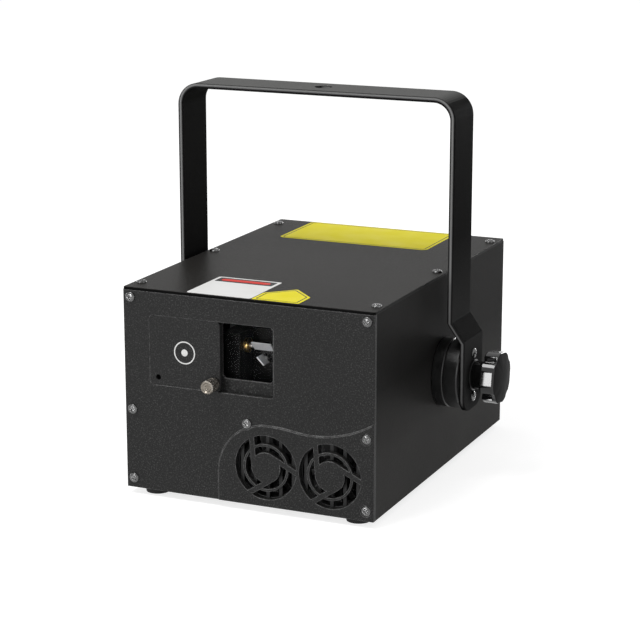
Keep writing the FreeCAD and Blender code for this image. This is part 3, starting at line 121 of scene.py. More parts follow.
def ramp(tree, value, low, high, outLow=0.0, outHigh=1.0):
    values = {"Value": value, "From Min": low, "From Max": high, "To Min": outLow, "To Max": outHigh}
    return addNode(tree, "MapRange", values).outputs["Result"]


# a node group; the kind of an input follows from its value
def newGroup(name, inputs, outputs):
    tree = bpy.data.node_groups.new(name, "ShaderNodeTree")
    for label, value in inputs.items():
        kind = "Float" if isinstance(value, float) else {3: "Vector", 4: "Color"}[len(value)]
        socket = tree.interface.new_socket(name=label, in_out="INPUT", socket_type="NodeSocket" + kind)
        socket.default_value = value
    for label, kind in outputs.items():
        tree.interface.new_socket(name=label, in_out="OUTPUT", socket_type="NodeSocket" + kind)
    return tree, tree.nodes.new("NodeGroupInput").outputs, tree.nodes.new("NodeGroupOutput").inputs


# worn, rounded edges, also painted lighter as highlights: where the surface within a radius turns away, the mask is
# high
def edgeWearAndHighlightGroup():
    inputs, outputs = {"Radius": 0.0005, "Breakup": 300.0, "Keep": 0.2}, {"Mask": "Float", "Normal": "Vector"}
    tree, start, end = newGroup("wornAndHighlitEdges", inputs, outputs)
    rounded = addNode(tree, "Bevel", {"Radius": start["Radius"]}, samples=4).outputs["Normal"]
    plain = addNode(tree, "NewGeometry").outputs["Normal"]
    dot = addNode(tree, "VectorMath", {0: rounded, 1: plain}, operation="DOT_PRODUCT")
    turned = ramp(tree, dot.outputs["Value"], 0.9985, 0.92)
    broken = larger(tree, ramp(tree, noise(tree, start["Breakup"]), 0.25, 0.6), start["Keep"])
    feed(tree, end, {"Mask": times(tree, turned, broken, clamp=True), "Normal": rounded})
    return tree


# a surface group: its drawing gives a tone, a change of roughness and what the bump needs
def surfaceGroup(name, inputs, draw):
    outputs = {"Color": "Color", "Roughness": "Float", "Normal": "Vector"}
    tree, start, end = newGroup(name, {**inputs, "Normal": (0, 0, 0)}, outputs)
    tone, change, relief = draw(tree, start)
    bump = addNode(tree, "Bump", {**relief, "Normal": start["Normal"]})
    rough = plus(tree, start["Rough"], change)
    feed(tree, end, {"Color": tone, "Roughness": rough, "Normal": bump.outputs["Normal"]})
    return tree


# powder coat: pimples of one size over slow orange peel, tone drifting over a hand's width
def drawCoat(tree, start):
    pimple = noise(tree, start["Pimples"], detail=2.0, rough=0.6)
    peel = noise(tree, times(tree, start["Pimples"], 0.22), detail=1.0)
    drift = noise(tree, 9.0, detail=2.0)
    height = plus(tree, times(tree, pimple, 0.7), times(tree, peel, 0.5))
    crest = times(tree, ramp(tree, pimple, 0.52, 0.74), start["Speckle"])
    tone = mix(tree, crest, start["Tone"], (0.10, 0.10, 0.098))
    tone = mix(tree, ramp(tree, drift, 0.3, 0.7, 0.0, 0.3), tone, 0.004)
    change = ramp(tree, pimple, 0.3, 0.7, -0.07, 0.09)
    return tone, change, {"Height": height, "Strength": start["Depth"], "Distance": 0.0006}


# moulded plastic: spark-eroded tool grain, faint flow clouds
def drawMould(tree, start):
    grain = noise(tree, start["Grain"], detail=2.0)
    cloud = noise(tree, 60.0)
    tone = mix(tree, ramp(tree, cloud, 0.35, 0.7, 0.0, 0.35), start["Tone"], 0.02)
    change = ramp(tree, cloud, 0.3, 0.7, -0.06, 0.08)
    return tone, change, {"Height": grain, "Strength": start["Depth"], "Distance": 0.0002}


# bright metal: drawn-out scratches along one axis, dull patches
def drawMetal(tree, start):
    stretched = {0: objectPoint(tree), 1: start["Stretch"]}
    drawn = addNode(tree, "VectorMath", stretched, operation="MULTIPLY")
    scratch = noise(tree, 1.0, vector=drawn.outputs["Vector"])
    patch = noise(tree, 180.0)
    tone = mix(tree, ramp(tree, patch, 0.4, 0.75, 0.0, 0.7), start["Tone"], start["Dull"])
    change = ramp(tree, scratch, 0.3, 0.7, -0.08, 0.14)
    return tone, change, {"Height": scratch, "Strength": 0.25, "Distance": 0.0001}


# dust and painted top light on faces turned upwards: an even pale haze, which paints the light on the tops, with denser
# specks of dust in it
def dustAndTopLightGroup():
    tree, start, end = newGroup("dustAndTopLightHaze", {"Amount": 0.2}, {"Mask": "Float"})
    upward = facingOf(tree, "Normal")["Z"]
    # the specks' floor of 0.4 is the even haze: painted light on faces turned upwards
    specks = ramp(tree, noise(tree, 420.0, detail=4.0, rough=0.7), 0.5, 0.72, 0.4, 1.0)
    drift = ramp(tree, noise(tree, 14.0, detail=2.0), 0.3, 0.7, 0.5, 1.0)
    mask = times(tree, times(tree, specks, drift), ramp(tree, upward, 0.4, 0.95))
    feed(tree, end, {"Mask": times(tree, mask, start["Amount"], clamp=True)})
    return tree


coatInputs = {"Tone": grey(0.02), "Pimples": 900.0, "Depth": 0.4, "Rough": 0.5, "Speckle": 0.3}
mouldInputs = {"Tone": grey(0.02), "Grain": 1800.0, "Depth": 0.2, "Rough": 0.45}
metalInputs = {"Tone": grey(0.6), "Dull": grey(0.3), "Stretch": (40, 2000, 2000), "Rough": 0.3}
groups = dict(
    edge=edgeWearAndHighlightGroup(), dust=dustAndTopLightGroup(), coat=surfaceGroup("powderCoat", coatInputs, drawCoat),
    mould=surfaceGroup("mouldGrain", mouldInputs, drawMould),
    metal=surfaceGroup("drawnMetal", metalInputs, drawMetal))
print("shader groups built")

looks = {}  # every finish by its name
socketNames = dict(specular="Specular IOR Level", metallic="Metallic", coatRough="Coat Roughness", ior="IOR")


def newMaterial(name, **sockets):
    looks[name] = bpy.data.materials.new(name)
    looks[name].use_nodes = True
    tree = looks[name].node_tree
    shader = tree.nodes["Principled BSDF"].inputs
    feed(tree, shader, {socketNames[label]: value for label, value in sockets.items()})
    return tree, shader


def useGroup(tree, key, values):
    return addNode(tree, "Group", values, node_tree=groups[key]).outputs


# tone over height: from lowTone to highTone, less one
def heightFade(tree, height, shade):
    return ramp(tree, height, shade["low"], shade["high"], shade["lowTone"] - 1, shade["highTone"] - 1)


# bent flat bar, painted light and shade: painted paler towards the tabs outside and on top, painted shade on its
# sloping steps, a painted highlight along the middle of its cut edges; away = distance of a point from the bends' axes,
# less the bend, with the legs' steps straightened
barSpec = dict(bendX=0.0968, bendZ=0.2775, bend=0.015, stepLow=0.1105, stepHigh=0.1252, stepOut=0.0105)
barShade = dict(
    low=0.13, high=0.19, lowTone=2.9, highTone=0.8, outside=(0.0012, 0.0018), slope=(0.3, 0.5), slopeTone=-0.88,
    upward=(0.7, 1.0), topLightTone=(0.098, 0.098, 0.096), edgeways=(0.75, 0.95), cutBand=(0.0013, 0.0001),
    cutRise=0.0008, cutHighlightTone=0.19)


def shadeBar(tree, colour, bar=barSpec, shade=barShade):
    where, facing = placeOf(tree), facingOf(tree)
    height = where["Z"]

    def beyond(value, limit):
        return larger(tree, minus(tree, value, limit))
    stepped = ramp(tree, height, bar["stepLow"], bar["stepHigh"], bar["stepOut"], 0.0)
    aside = beyond(minus(tree, absolute(tree, where["X"]), stepped), bar["bendX"])
    above = beyond(height, bar["bendZ"])
    squares = plus(tree, mathNode("POWER", tree, aside, 2.0), mathNode("POWER", tree, above, 2.0))
    away = minus(tree, mathNode("SQRT", tree, squares), bar["bend"])
    # painted light: outside, the bar is painted paler low down and darker high up
    outside = ramp(tree, away, *shade["outside"])
    tone = plus(tree, times(tree, heightFade(tree, height, shade), outside), 1.0)
    # painted shade on the sloping steps, low down
    low = ramp(tree, height, shade["high"], shade["low"])
    tilted = times(tree, ramp(tree, facing["Z"], *shade["slope"]), low)
    darker = times(tree, tilted, shade["slopeTone"] * shade["lowTone"])
    colour = mix(tree, 1.0, colour, plus(tree, tone, darker), "MULTIPLY")
    # painted light: faces turned upwards are painted paler
    colour = mix(tree, ramp(tree, facing["Z"], *shade["upward"]), colour, shade["topLightTone"])
    # painted highlight: a pale band along the middle of the cut edges
    cut = ramp(tree, absolute(tree, facing["Y"]), *shade["edgeways"])
    raised = ramp(tree, height, bar["bendZ"], bar["bendZ"] + bar["bend"], 0.0, shade["cutRise"])
    offMiddle = absolute(tree, minus(tree, away, raised))
    cutHighlightMask = times(tree, cut, ramp(tree, offMiddle, *shade["cutBand"]))
    return mix(tree, cutHighlightMask, colour, shade["cutHighlightTone"])


# case: painted light from below: its side walls are painted paler towards the floor and darker higher up
sideShade = dict(low=0.05, high=0.1, lowTone=2.1, highTone=0.65, sideways=(0.5, 0.9))


def shadeSides(tree, colour, shade=sideShade):
    sideways = ramp(tree, absolute(tree, facingOf(tree)["X"]), *shade["sideways"])
    tone = times(tree, heightFade(tree, placeOf(tree)["Z"], shade), sideways)
    return mix(tree, 1.0, colour, plus(tree, tone, 1.0), "MULTIPLY")


# a finish: rounded edges, painted lighter as wear and as painted highlights, under one of the surface groups, dust with
# a painted haze of top light over it, then any painted light and shade the finish is given
def finish(name, kind, edge, radius=0.0005, wear=0.5, keep=0.2, dust=0.0, rim=None, glossSides=None, bareSides=None,
           shade=None, **values):
    own = {label: values.pop(label) for label in socketNames if label in values}
    inGroup = {label.capitalize(): paint(value) if label in ("tone", "dull") else value
               for label, value in values.items()}
    tree, shader = newMaterial(name, **own)
    edges = useGroup(tree, "edge", {"Radius": radius, "Keep": keep})
    skin = useGroup(tree, kind, {**inGroup, "Normal": edges["Normal"]})
    # the edge colour over this mask is partly wear and partly a painted highlight
    wornAndLit = times(tree, edges["Mask"], wear)
    if bareSides:  # the outer cut edges, further out than this, keep their coat
        reach = absolute(tree, placeOf(tree)["X"])
        wornAndLit = times(tree, wornAndLit, ramp(tree, reach, bareSides - mm, bareSides, 1.0, 0.1))
    colour = skin["Color"]
    if dust:
        # dust specks, and a painted haze of light on faces turned upwards
        layer = useGroup(tree, "dust", {"Amount": dust})
        colour = mix(tree, layer["Mask"], colour, (0.30, 0.29, 0.27))
    if shade:
        colour = shade(tree, colour)
    colour = mix(tree, wornAndLit, colour, edge)
    if rim:  # painted shade: the sheet's cut edge, turned sideways, is painted darker
        colour = mix(tree, ramp(tree, facingOf(tree)["Z"], 0.6, 0.2), colour, rim)
    if glossSides:  # faces square to the case's sides keep the tool's matte grain, the rest is polished
        sideways = absolute(tree, facingOf(tree)["X"])
        feed(tree, shader, {"Coat Weight": ramp(tree, sideways, 0.8, 0.5, 0.0, glossSides)})
    feed(tree, shader, {"Base Color": colour, "Roughness": skin["Roughness"], "Normal": skin["Normal"]})


mould, metal = dict(kind="mould"), dict(kind="metal", metallic=1.0)
fineCoat = dict(kind="coat", pimples=1500.0)
frontPowder = dict(kind="coat", tone=0.0068, pimples=980.0, depth=0.9, rough=0.5, speckle=0.62, specular=0.17)
finishSpec = {
    "frontCoat": dict(frontPowder, edge=0.26, radius=0.0008, wear=0.8, dust=0.08, bareSides=0.0985),
    "shutterCoat": dict(frontPowder, edge=0.12, wear=0.4),
    "caseCoat": dict(fineCoat, tone=grey(0.017, 0.03), depth=0.25, rough=0.4, speckle=0.12,
        edge=(0.09, 0.09, 0.086), dust=0.04, shade=shadeSides, specular=0.010),
    "coverCoat": dict(fineCoat, tone=grey(0.0105, 0.08), depth=0.22, rough=0.36, speckle=0.14,
        edge=(0.05, 0.05, 0.048), wear=0.4, dust=0.03, rim=0.0015, specular=0.022),
    "bracketCoat": dict(kind="coat", tone=0.0092, pimples=1700.0, depth=0.2, rough=0.4, speckle=0.06, edge=0.004,
        radius=0.0009, wear=0.9, keep=0.9, dust=0.1, shade=shadeBar, specular=0.001),
    "guardCoat": dict(fineCoat, tone=0.010, depth=0.2, rough=0.5, speckle=0.1, edge=0.06, radius=0.0003,
        specular=0.25),
    "discPlastic": dict(mould, tone=0.005, depth=0.3, rough=0.36, edge=0.10, specular=0.34),
    "knobPlastic": dict(mould, tone=0.002, depth=0.05, rough=0.42, edge=0.02, glossSides=1.0, specular=0.015,
        coatRough=0.05),
    "footRubber": dict(mould, tone=0.010, grain=900.0, depth=0.4, rough=0.75, edge=0.03, specular=0.3),
    "fanPlastic": dict(mould, tone=0.008, depth=0.2, rough=0.4, edge=0.03, specular=0.4),
    "fittingPlastic": dict(mould, tone=0.008, depth=0.25, rough=0.42, edge=0.06, specular=0.16),
    "buttonPlastic": dict(mould, tone=0.05, depth=0.2, rough=0.45, edge=0.12, specular=0.3),
    "anodised": dict(mould, tone=0.0035, grain=2400.0, depth=0.06, rough=0.36, edge=0.05, specular=0.07),
    "screwSteel": dict(metal, tone=0.13, dull=0.035, stretch=(900, 900, 900), rough=0.22, edge=0.85, radius=0.0003,
        wear=1.0),
    "studSteel": dict(metal, tone=0.40, dull=0.25, stretch=(60, 1500, 1500), rough=0.36, edge=0.55, radius=0.0002),
    "nickelPlate": dict(metal, tone=(0.19, 0.17, 0.145), dull=(0.10, 0.088, 0.07), stretch=(1200, 200, 1200),
        rough=0.24, edge=(0.75, 0.72, 0.68), radius=0.0002),
    "darkWasher": dict(metal, tone=0.03, dull=0.015, stretch=(900, 900, 900), rough=0.35, edge=0.12, radius=0.0002),
    "machined": dict(metal, tone=0.52, dull=0.4, stretch=(60, 1600, 1600), rough=0.36, edge=0.7),
    "zincSheet": dict(metal, tone=0.27, dull=0.18, stretch=(120, 120, 120), rough=0.36, edge=0.45, radius=0.0003),
    "tinnedBlades": dict(kind="metal", metallic=0.3, tone=0.55, dull=0.40, stretch=(900, 120, 900), rough=0.34,
        edge=0.7, radius=0.0002),
    "goldContacts": dict(metal, tone=(0.62, 0.42, 0.15), dull=(0.42, 0.27, 0.09), stretch=(900, 300, 900),
        rough=0.24, edge=(0.8, 0.6, 0.25), radius=0.0001),
}
for finishName, finishValues in finishSpec.items():
    finish(finishName, **finishValues)

# nose rings: the upper scanner's is plain brass, the lower one's is blackened right of a line across the pair
ringSpec = dict(
    skin={"Tone": (0.72, 0.47, 0.16, 1), "Dull": (0.45, 0.28, 0.1, 1), "Stretch": (1500, 1500, 300), "Rough": 0.26},
    line=(-0.0072, -0.0068), black=0.03)
tree, shader = newMaterial("noseRings", metallic=1.0)
skin = useGroup(tree, "metal", ringSpec["skin"])
black = ramp(tree, placeOf(tree)["X"], *ringSpec["line"])
colour = mix(tree, black, skin["Color"], ringSpec["black"])
feed(tree, shader, {"Base Color": colour, "Roughness": skin["Roughness"], "Normal": skin["Normal"]})

# mirror coat: a bright white, nearly without metal, which paints the mirrors' reflection of the studio light, with a
# thin bluish haze
tree, shader = newMaterial("mirrorCoat", metallic=0.05)
haze = noise(tree, 240.0)
colour = mix(tree, ramp(tree, haze, 0.4, 0.8, 0.0, 0.4), (0.93, 0.94, 0.95), (0.72, 0.76, 0.84))
feed(tree, shader, {"Base Color": colour, "Roughness": ramp(tree, haze, 0.3, 0.8, 0.02, 0.1)})

# window glass: clear, with faint smears
tree, shader = newMaterial("clearGlass", ior=1.5)
smear = noise(tree, 70.0, detail=4.0, rough=0.65)
rough, alpha = [ramp(tree, smear, 0.45, 0.8, 0.03, high) for high in (0.12, 0.07)]
feed(tree, shader, {"Roughness": rough, "Alpha": alpha, "Base Color": (0.01, 0.012, 0.013, 1)})


# a brick pattern stood upright, facing the rear
def brickNode(tree, values, **settings):
    upright = addNode(tree, "Mapping", {"Vector": objectPoint(tree), "Rotation": (math.pi / 2, 0, 0)})
    values = {**values, "Vector": upright.outputs["Vector"]}
    return addNode(tree, "TexBrick", values, **settings).outputs["Color"]


# solder mask over copper runs: straight tracks show as slightly paler lines
trackSpec = {
    "Scale": 130.0, "Mortar Size": 0.09, "Row Height": 0.6, "Color1": (0.012, 0.085, 0.035, 1),
    "Color2": (0.010, 0.070, 0.030, 1), "Mortar": (0.03, 0.16, 0.06, 1)}
tree, shader = newMaterial("solderMask", specular=0.5)
cloud = noise(tree, 90.0)
shadow = ramp(tree, cloud, 0.4, 0.7, 0.0, 0.4)
colour = mix(tree, shadow, brickNode(tree, trackSpec), (0.006, 0.04, 0.02))
feed(tree, shader, {"Base Color": colour, "Roughness": ramp(tree, cloud, 0.3, 0.7, 0.25, 0.4)})

# display: unlit cells under a smeared tinted window
cellTone = (0.012, 0.020, 0.034, 1)
cellSpec = {
    "Scale": 260.0, "Mortar Size": 0.06, "Brick Width": 0.62, "Row Height": 1.2, "Color1": cellTone,
    "Color2": cellTone, "Mortar": (0.006, 0.008, 0.012, 1)}
tree, shader = newMaterial("tintedWindow", specular=0.2)
smear = noise(tree, 120.0, detail=4.0)
colour = mix(tree, smear, brickNode(tree, cellSpec, offset=0.0), (0.012, 0.014, 0.018))
feed(tree, shader, {"Base Color": colour, "Roughness": ramp(tree, smear, 0.4, 0.8, 0.06, 0.2)})

# printed film: an even ink with paper tooth, a little yellowed and scuffed
filmSpec = dict(
    yellowFilm=((0.68, 0.60, 0.008), (0.63, 0.55, 0.010)), whiteFilm=((0.66, 0.66, 0.65), (0.58, 0.57, 0.55)),
    darkInk=(0.025, 0.04), redInk=((0.56, 0.035, 0.025), (0.48, 0.04, 0.03)))
for filmName, tones in filmSpec.items():
    tree, shader = newMaterial(filmName, specular=0.03)
    cloud = noise(tree, 45.0)
    colour = mix(tree, ramp(tree, cloud, 0.45, 0.8, 0.0, 0.4), *tones)
    tooth = noise(tree, 1600.0, detail=2.0)
    bump = addNode(tree, "Bump", {"Height": tooth, "Strength": 0.12, "Distance": 0.0001}).outputs["Normal"]
    rough = ramp(tree, cloud, 0.3, 0.7, 0.32, 0.48)
    feed(tree, shader, {"Base Color": colour, "Roughness": rough, "Normal": bump})
print("finishes built")

# the solids that take each finish
solidsOf = dict(
    frontCoat="front_panel aperture_plate", shutterCoat="shutter_plate", coverCoat="top_cover",
    caseCoat="side_panel_left side_panel_right rear_panel bottom_plate", bracketCoat="bracket safety_eye",
    guardCoat="fan_guard", discPlastic="tilt_disc_left tilt_disc_right friction_disc_left friction_disc_right",
    knobPlastic="knob_left knob_right", footRubber="rubber_feet",
    fanPlastic="fan_frames fan_rotor_left fan_rotor_right",
    fittingPlastic="power_inlet power_switch power_rocker signal_sockets",
    buttonPlastic="menu_button_up menu_button_down menu_button_back menu_button_enter",
    screwSteel="case_screws foot_screws bracket_screws fan_screws",
    studSteel="clamp_stud_left clamp_stud_right tilt_nuts", darkWasher="knob_washer_left knob_washer_right",
    nickelPlate="thumbscrew thumb_collar key key_switch", zincSheet="control_connector power_supply",
    anodised="galvo_mount galvo_motors", noseRings="galvo_rings",
    machined="scan_shaft_x scan_shaft_y optics_plate laser_red laser_green laser_blue mirror_holders",
    mirrorCoat="scan_mirror_x scan_mirror_y beam_mirrors", clearGlass="aperture_glass", solderMask="circuit_boards",
    tintedWindow="display_window")
lookOf = {nodeName: look for look, names in solidsOf.items() for nodeName in names.split()}
for nodeName, look in lookOf.items():
    for slot in nodes[nodeName].material_slots:
        slot.material = looks[look]
print("solids dressed:", len(lookOf), "of", len(nodes))


# quads between neighbours of a grid of points, closed round its second index
def gridFaces(rows, cols):
    upper, left = np.meshgrid(np.arange(rows - 1) * cols, np.arange(cols), indexing="ij")
    right, lower = (left + 1) % cols, upper + cols
    return np.stack([upper + left, upper + right, lower + right, lower + left], -1).reshape(-1, 4)


# grids of points in millimetres become one mesh, doubles merged and faces turned outwards
def makePiece(name, grids, look, body, slotName, sharp=35, seat=None):
    points, quads, count = [], [], 0
    for grid in grids if seat is None else [seatOn(grid, *seat) for grid in grids]:
        points.append(grid.reshape(-1, 3) * mm)
        quads.append(gridFaces(*grid.shape[:2]) + count)
        count += len(points[-1])
    mesh = bpy.data.meshes.new(name)
    mesh.from_pydata(np.concatenate(points), [], np.concatenate(quads))
    shell = bmesh.new()
    shell.from_mesh(mesh)
    bmesh.ops.remove_doubles(shell, verts=shell.verts, dist=1e-6)
    bmesh.ops.dissolve_degenerate(shell, edges=shell.edges, dist=1e-7)
    bmesh.ops.recalc_face_normals(shell, faces=shell.faces)
    shell.to_mesh(mesh)
    shell.free()
    mesh.polygons.foreach_set("use_smooth", np.ones(len(mesh.polygons), bool))
    mesh.set_sharp_from_angle(angle=math.radians(sharp))
    mesh.materials.append(looks[look])
    piece = bpy.data.objects.new(name, mesh)
    scene.collection.objects.link(piece)
    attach(piece, body)
    return piece


xAxis, yAxis, zAxis = np.eye(3)


# points (across, up, out) stood on a seat: out leaves the seat along its normal
def seatOn(points, centre, across, up, out):
    return points @ np.array([across, up, out], float) + np.array(centre, float)


def frontSeat(x, z):
    return (x, case["front"], z), xAxis, zAxis, -yAxis


def rearSeat(x, z, out=0.0):
    return (x, case["back"] + out, z), -xAxis, zAxis, yAxis


def topSeat(x, y):
    return (x, y, case["top"]), xAxis, yAxis, zAxis


def lowSeat(x, y, z):
    return (x, y, z), xAxis, -yAxis, -zAxis


def spin(points, degrees):
    across, up = math.cos(math.radians(degrees)), math.sin(math.radians(degrees))
    return seatOn(points, (0, 0, 0), (across, up, 0), (-up, across, 0), zAxis)


def fullTurn(count):
    return np.linspace(0, 2 * np.pi, count, endpoint=False)


def circle(radius, count=72):
    turn = fullTurn(count)
    return radius * np.stack([np.cos(turn), np.sin(turn)], -1)


# a stack of outlines (across, up), each at its distance out, joined into one surface
def ringStack(rings):
    return np.stack([np.concatenate([outline, np.full((len(outline), 1), out)], 1) for outline, out in rings])


# one outline, scaled by a share at each distance out
def shareStack(outline, shares):
    return ringStack([(outline * share, out) for share, out in shares])


# a turned form: a profile of (radius, out) carried round its axis
def turnedGrid(profile, spokes):
    return shareStack(circle(1.0, spokes), profile)


# pan-head screws: rings go from the crown's middle over the dome to the rim, under it and down the shank,
# height = dome - cross recess, where the recess is deep along two bars and fades at their ends
screwSpec = dict(
    headRadius=3.8, headHeight=1.8, rimHeight=0.55, domePower=2.4, shankRadius=2.0, tipRadius=1.2, tipLength=0.6,
    recessArm=2.2, recessFade=0.5, recessHalf=0.48, recessWall=0.14, recessDepth=1.15, spokes=56,
    rings=(0.0, 0.05, 0.1, 0.15, 0.21, 0.27, 0.33, 0.39, 0.45, 0.51, 0.57, 0.63, 0.72, 0.82, 0.9, 0.96, 1.0))


def screwGrid(length, spec=screwSpec):
    radius, rim, shank = pick(spec, "headRadius rimHeight shankRadius")
    reach, angle = np.meshgrid(np.array(spec["rings"]) * radius, fullTurn(spec["spokes"]), indexing="ij")
    x, y = reach * np.cos(angle), reach * np.sin(angle)
    crown = np.sqrt(np.clip(1 - (reach / radius) ** spec["domePower"], 0, 1))
    dome = rim + (spec["headHeight"] - rim) * crown
    arm, bar = np.maximum(np.abs(x), np.abs(y)), np.minimum(np.abs(x), np.abs(y))
    inBar = np.clip((spec["recessHalf"] - bar) / spec["recessWall"] + 0.5, 0, 1)
    inArm = np.clip((spec["recessArm"] - arm) / spec["recessFade"], 0, 1)
    top = np.stack([x, y, dome - spec["recessDepth"] * inBar * inArm], -1)
    tail = [(radius, 0.0), (shank, 0.0), (shank, spec["tipLength"] - length), (spec["tipRadius"], -length),
            (0.0, -length)]
    return np.concatenate([top, turnedGrid(tail, spec["spokes"])])


# screws on their seats, each turned on by a step within a quarter turn
def screwSet(seats, length, share=1.0, twist=37):
    screw = screwGrid(length) * share
    return [seatOn(spin(screw, twist * number % 90), *seat) for number, seat in enumerate(seats)]


# rows of screws on the panels, cover, bottom, tabs and feet
rows = dict(
    panelX=94.0, panelZ=(152.1, 66.5, 12.9), coverY=(-126.5, -6.5, 113.5), bottomY=(-104.0, -6.5, 91.0), tabX=124.3,
    tabOffset=17.0, footX=82.0, footY=(-129.0, 116.0), footSeat=3.7, length=10.0, footLength=6.0)
sides = (-1, 1)
caseSeats = []
panelSpots = [(side * rows["panelX"], z) for side in sides for z in rows["panelZ"]]
for x, z in panelSpots + [(0.0, rows["panelZ"][1])]:
    caseSeats += [frontSeat(x, z), rearSeat(x, z)]
for side in sides:
    panelX = side * rows["panelX"]
    caseSeats += [topSeat(panelX, y) for y in rows["coverY"]]
    caseSeats += [lowSeat(panelX, y, case["floor"]) for y in rows["bottomY"]]
tabSeats = []
for side in sides:
    for step in sides:
        centre = (side * rows["tabX"], case["middleY"], case["tiltZ"] + step * rows["tabOffset"])
        tabSeats.append((centre, side * yAxis, zAxis, side * xAxis))
footSeats = [lowSeat(side * rows["footX"], y, rows["footSeat"]) for side in sides for y in rows["footY"]]
screwSets = (
    ("caseScrewHeads", caseSeats, "length", "case", "case_screws"),
    ("tabScrewHeads", tabSeats, "length", "bracket_body", "bracket_screws"),
    ("footScrewHeads", footSeats, "footLength", "case", "foot_screws"))
for pieceName, seats, length, body, node in screwSets:
    screws = makePiece(pieceName, screwSet(seats, rows[length]), "screwSteel", body, "screw_steel")
    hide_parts(node)
print("screws cut")

# knurled thumbscrew: radius = barrel - depth where two families of slanting grooves cross,
# the ends turned down to a bevel and the outer face dished
thumbSpec = dict(
    x=-26.45, z=93.5, radius=5.2, outer=12.0, inner=1.0, tip=-4.45, shank=2.0, ridges=34, perRidge=7, rows=46,
    depth=0.32, slant=0.62, groovePower=8, bevel=0.8, dish=0.7, dishRadius=1.7, dishEdge=1.5, lip=0.8, dimple=1.2,
    dimpleRadius=1.3, sharp=25)


def thumbGrid(spec=thumbSpec):
    outer, inner, tip, shank, radius, ridges, bevel = pick(spec, "outer inner tip shank radius ridges bevel")
    along = np.linspace(outer - bevel, inner + bevel, spec["rows"])
    spokes = ridges * spec["perRidge"]
    reach, angle = np.meshgrid(along, fullTurn(spokes), indexing="ij")
    phase = ridges * angle
    rise = ridges * spec["slant"] * reach / radius
    families = np.abs(np.cos((phase + rise) / 2)), np.abs(np.cos((phase - rise) / 2))
    barrel = radius - spec["depth"] * np.maximum(*families) ** spec["groovePower"]
    body = np.stack([barrel * np.cos(angle), barrel * np.sin(angle), reach], -1)
    root = radius - bevel
    dish, dimple = outer - spec["dish"], outer - spec["dimple"]
    cap = [(0.0, dimple), (spec["dimpleRadius"], dimple), (spec["dishRadius"], dish), (root - spec["dishEdge"], dish),
           (root - spec["lip"], outer), (root, outer)]
    tail = [(root, inner), (shank, inner), (shank, tip), (0.0, tip)]
    return np.concatenate([turnedGrid(cap, spokes), body, turnedGrid(tail, spokes)])


thumbSeat = frontSeat(thumbSpec["x"], thumbSpec["z"])
thumbWords = ("nickelPlate", "thumb", "nickel")
thumbPiece = makePiece("knurledThumbscrew", [thumbGrid()], *thumbWords, thumbSpec["sharp"], thumbSeat)
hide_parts("thumbscrew")
print("thumbscrew knurled")

# clamp knobs: a round neck under a lobed head, radius = lobe, cut flat across its end, - notch depth * smooth
# step of the angle to the nearest notch, carried along a profile of (distance out, radius less an inset);
# the notches run out in the cap, under the domed face
knobSpec = dict(
    seat=125.7, neckRadius=11.0, neckLength=10.2, fillet=((0.8, 0.0), (0.2, 0.25), (0.0, 0.9)), underShare=0.85,
    depth=13.0, lobe=20.0, flat=19.25, notch=4.2, notchHalf=8.0, notchSoft=3.5, notchTurn=37.0, notches=4, cap=3.0,
    capNotch=0.22, runOut=0.55, runOutShares=(0.0, 0.3, 0.6, 0.85, 1.0), round=1.0, edge=0.2, dome=1.4,
    domeShares=(0.93, 0.0, 9), arcPoints=6, spokes=240, sharp=40)


def knobGrid(spec=knobSpec):
    soft, bend, edge, dome, spokes, neck, back = pick(spec, "notchSoft round edge dome spokes neckRadius neckLength")
    pitch = 360.0 / spec["notches"]
    turn = np.degrees(fullTurn(spokes))
    away = np.abs((turn - spec["notchTurn"] + pitch / 2) % pitch - pitch / 2)
    step = np.clip((away - spec["notchHalf"] + soft) / (2 * soft), 0, 1)
    ends = np.minimum(spec["flat"] / np.cos(np.radians(pitch / 2 - away)), spec["lobe"])
    notched = spec["notch"] * (1 - step * step * (3 - 2 * step))
    lobed, capped = ends - notched, ends - spec["capNotch"] * notched
    rim = back + spec["depth"] - dome
    capFoot = rim - spec["cap"]
    arc = np.linspace(0, np.pi / 2, spec["arcPoints"])
    rings = [(0.0, 0.0), (0.0, neck)] + [(back - under, neck + gain) for under, gain in spec["fillet"]]
    rings += [(back, lobed * spec["underShare"])]
    rings += [(back + bend * (1 - math.cos(q)), lobed - bend * (1 - math.sin(q))) for q in arc]
    rings += [(back + bend + edge, lobed), (capFoot - edge, lobed)]
    rings += [(capFoot + spec["runOut"] * share, lobed + (capped - lobed) * math.sin(share * math.pi / 2))
              for share in spec["runOutShares"]]
    rings += [(rim - bend * (1 - math.sin(q)), capped - bend * (1 - math.cos(q))) for q in arc]
    rings += [(rim + dome * (1 - share ** 2), share * (capped - bend)) for share in np.linspace(*spec["domeShares"])]
    unit = circle(1.0, spokes)
    return ringStack([(np.reshape(radius, (-1, 1)) * unit, out) for out, radius in rings])


for side, label in zip(sides, ("left", "right")):
    knobSeat = ((side * knobSpec["seat"], case["middleY"], case["tiltZ"]), yAxis, zAxis, side * xAxis)
    knobWords = ("knobPlastic", "clamp_" + label, "knob_plastic")
    knobPiece = makePiece("lobedKnob." + label, [knobGrid()], *knobWords, knobSpec["sharp"], knobSeat)
    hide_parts("knob_" + label)
print("knobs moulded")


# outline of a rectangle with rounded corners, as (x, y) points running round it
def roundedBox(low, high, corner, steps=7):
    left, right, bottom, top = low[0] + corner, high[0] - corner, low[1] + corner, high[1] - corner
    arcs = []
    for number, (x, y) in enumerate(((right, top), (left, top), (left, bottom), (right, bottom))):
        angle = np.linspace(0, np.pi / 2, steps) + number * np.pi / 2
        arcs.append(np.stack([x + corner * np.cos(angle), y + corner * np.sin(angle)], -1))
    return np.concatenate(arcs)


